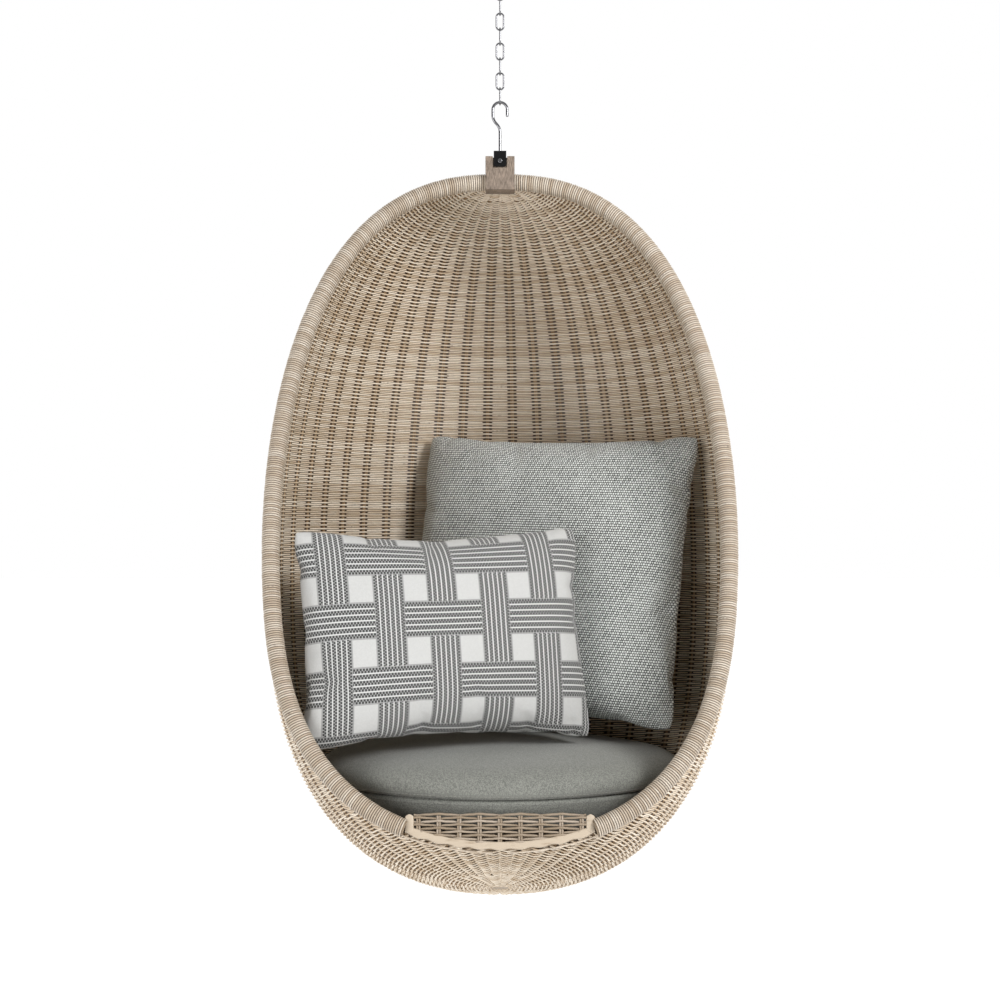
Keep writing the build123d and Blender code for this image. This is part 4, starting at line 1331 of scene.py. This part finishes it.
class ChairScene:
    """Builds the chair's looks, the camera and the light."""

    CHROME = ("ceiling_plate", "ceiling_eye", "hanging_hook", "hook_washer", "hook_nut", "pivot_bolt",
              "pivot_nut")
    FRAME = ("rim_tube", "panel_rail", "frame_rib_back_left", "frame_rib_back_right", "frame_rib_side_left",
             "frame_rib_side_right", "top_hub", "pole_hub", "seat_ring", "seat_cross_bar_1",
             "seat_cross_bar_2")
    CAMERA = (0.0, -3.1, -0.9936)
    LENS_MM = 62.0
    SENSOR_MM = 36.0
    AIM = (0.0, 0.0, -1.1)
    FLOOR_Z = -2.05

    def __init__(self) -> None:
        self.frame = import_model()
        low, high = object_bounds()
        self.cad_box = [list(low), list(high)]
        self.palette = Palette()

    def paint_nodes(self) -> None:
        """Gives every CAD node that stays its procedural finish."""
        palette = self.palette
        finish = {name: palette.chrome for name in self.CHROME}
        finish.update({f"chain_link_{number}": palette.chrome for number in range(1, 10)})
        finish.update({name: palette.frame for name in self.FRAME})
        finish["swivel_clevis"] = palette.black
        finish["pivot_bush"] = palette.plastic
        finish["hanger_block"] = palette.block
        for name, material in finish.items():
            node = self.frame["nodes"][name]
            node.data.materials.clear()
            node.data.materials.append(material)

    def weave(self) -> None:
        """Makes the shell, the rim wraps and the front panel."""
        shell = WovenShell()
        rows = shell.rows(self.palette.weave)
        stakes = shell.stake_lines(self.palette.stake)
        # core is the dark sheet inside the weave, painted shade for the gaps between strands
        core = shell.core(self.palette.core)
        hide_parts("woven_shell")
        wrap = RimWrap()
        for side, name in ((-1, "rim_wrap_left"), (1, "rim_wrap_right")):
            wound = wrap.build(side, f"{name}_strands", self.palette.wrap)
            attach(wound, "egg")
            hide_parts(name)
        panel = FrontPanel().build(self.palette.panel)
        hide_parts("panel_weave", "panel_strip_top")
        frame = PanelFrame()
        for sign, name in ((-1, "panel_strip_left"), (1, "panel_strip_right")):
            strip = frame.side(sign, f"{name}_round", self.palette.strip)
            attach(strip, "egg")
            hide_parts(name)
        lower = frame.bottom("panel_strip_bottom_scalloped", self.palette.strip)
        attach(lower, "egg")
        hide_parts("panel_strip_bottom")
        for piece in (*rows, stakes, core, panel):
            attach(piece, "egg")
        cord = wrap.edge_cord(self.palette.wrap)
        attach(cord, "egg")

    def cushions(self) -> None:
        """Makes the seat cushion and the two pillows."""
        seat = SeatCushion()
        seat.build(self.palette.seat)
        seat.stitches(self.palette.thread)
        Pillow("square_pillow_cover", "back_pillow", "square_pillow", "heather_grey_fabric",
               (84 * MM, 96 * MM, -1134 * MM), 27, 12, 556 * MM, 532 * MM, 112 * MM, 0.7,
               roll=-1.0, pull=(0.012, 0.014), crease=9 * MM).build(self.palette.heather)
        Pillow("small_pillow_cover", "lumbar_pillow", "small_pillow", "striped_fabric",
               (-97 * MM, -118 * MM, -1228 * MM), -17, 12, 508 * MM, 372 * MM, 138 * MM, 0.8,
               roll=0.5, pull=(0.02, 0.055), crease=8 * MM,
               uv_shift=(-120 * MM, 33 * MM)).build(self.palette.banded)

    def camera(self) -> None:
        """A level camera in front of the chair at the middle of the egg."""
        bpy.ops.object.camera_add(location=self.CAMERA, rotation=(math.radians(90), 0, 0))
        camera = bpy.context.object
        camera.data.lens = self.LENS_MM
        camera.data.sensor_width = self.SENSOR_MM
        camera.data.clip_start = 0.05
        camera.data.clip_end = 60
        bpy.context.scene.camera = camera

    def light(self) -> None:
        """White room, a large soft key from the front right and a fill from the left."""
        world = bpy.data.worlds.new("studio")
        bpy.context.scene.world = world
        world.use_nodes = True
        n = Nodes(world.node_tree)
        place = n.add("ShaderNodeSeparateXYZ")
        n.feed(place.inputs[0], n.add("ShaderNodeTexCoord").outputs["Generated"])
        behind = n.span(place.outputs[1], 0.25, 0.6)
        above = n.span(place.outputs[2], 0.3, 1.0, 0.0, 0.35)
        level = n.math("MAXIMUM", behind, n.math("ADD", 0.44, above))
        backdrop = world.node_tree.nodes["Background"]
        n.feed(backdrop.inputs["Color"], (1.0, 1.0, 1.0))
        n.feed(backdrop.inputs["Strength"], level)
        self.area("key", (2.4, -2.6, 0.5), 1.2, 112)
        self.area("fill", (-2.6, -2.6, -0.6), 1.6, 42)
        bpy.ops.mesh.primitive_plane_add(size=40, location=(0, 0, self.FLOOR_Z))
        floor = bpy.context.object
        floor.name = "studio_floor"
        material, n, shader = new_material("studio_floor")
        n.feed(shader.inputs["Base Color"], (0.5, 0.5, 0.5))
        n.feed(shader.inputs["Roughness"], 0.9)
        n.feed(shader.inputs["Emission Color"], (1.0, 1.0, 1.0))
        n.feed(shader.inputs["Emission Strength"], 0.66)
        floor.data.materials.append(material)
        floor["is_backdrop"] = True
        view = bpy.context.scene.view_settings
        view.view_transform = "Standard"
        view.look = "None"

    def area(self, name: str, place: Place, size: float, power: float) -> None:
        """One square area light that faces the middle of the chair."""
        bpy.ops.object.light_add(type="AREA", location=place)
        lamp = bpy.context.object
        lamp.name = name
        lamp.data.shape = "SQUARE"
        lamp.data.size = size
        lamp.data.energy = power
        lamp.rotation_euler = (Vector(self.AIM) - Vector(place)).to_track_quat("-Z", "Y").to_euler()

    def sizes(self) -> None:
        """Brings the view layer up to date."""
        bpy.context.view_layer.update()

    def build(self) -> None:
        """Builds everything."""
        self.paint_nodes()
        self.weave()
        self.cushions()
        self.camera()
        self.light()
        self.sizes()


def main() -> None:
    logging.basicConfig(level=logging.INFO)
    ChairScene().build()


if __name__ == "__main__":
    main()
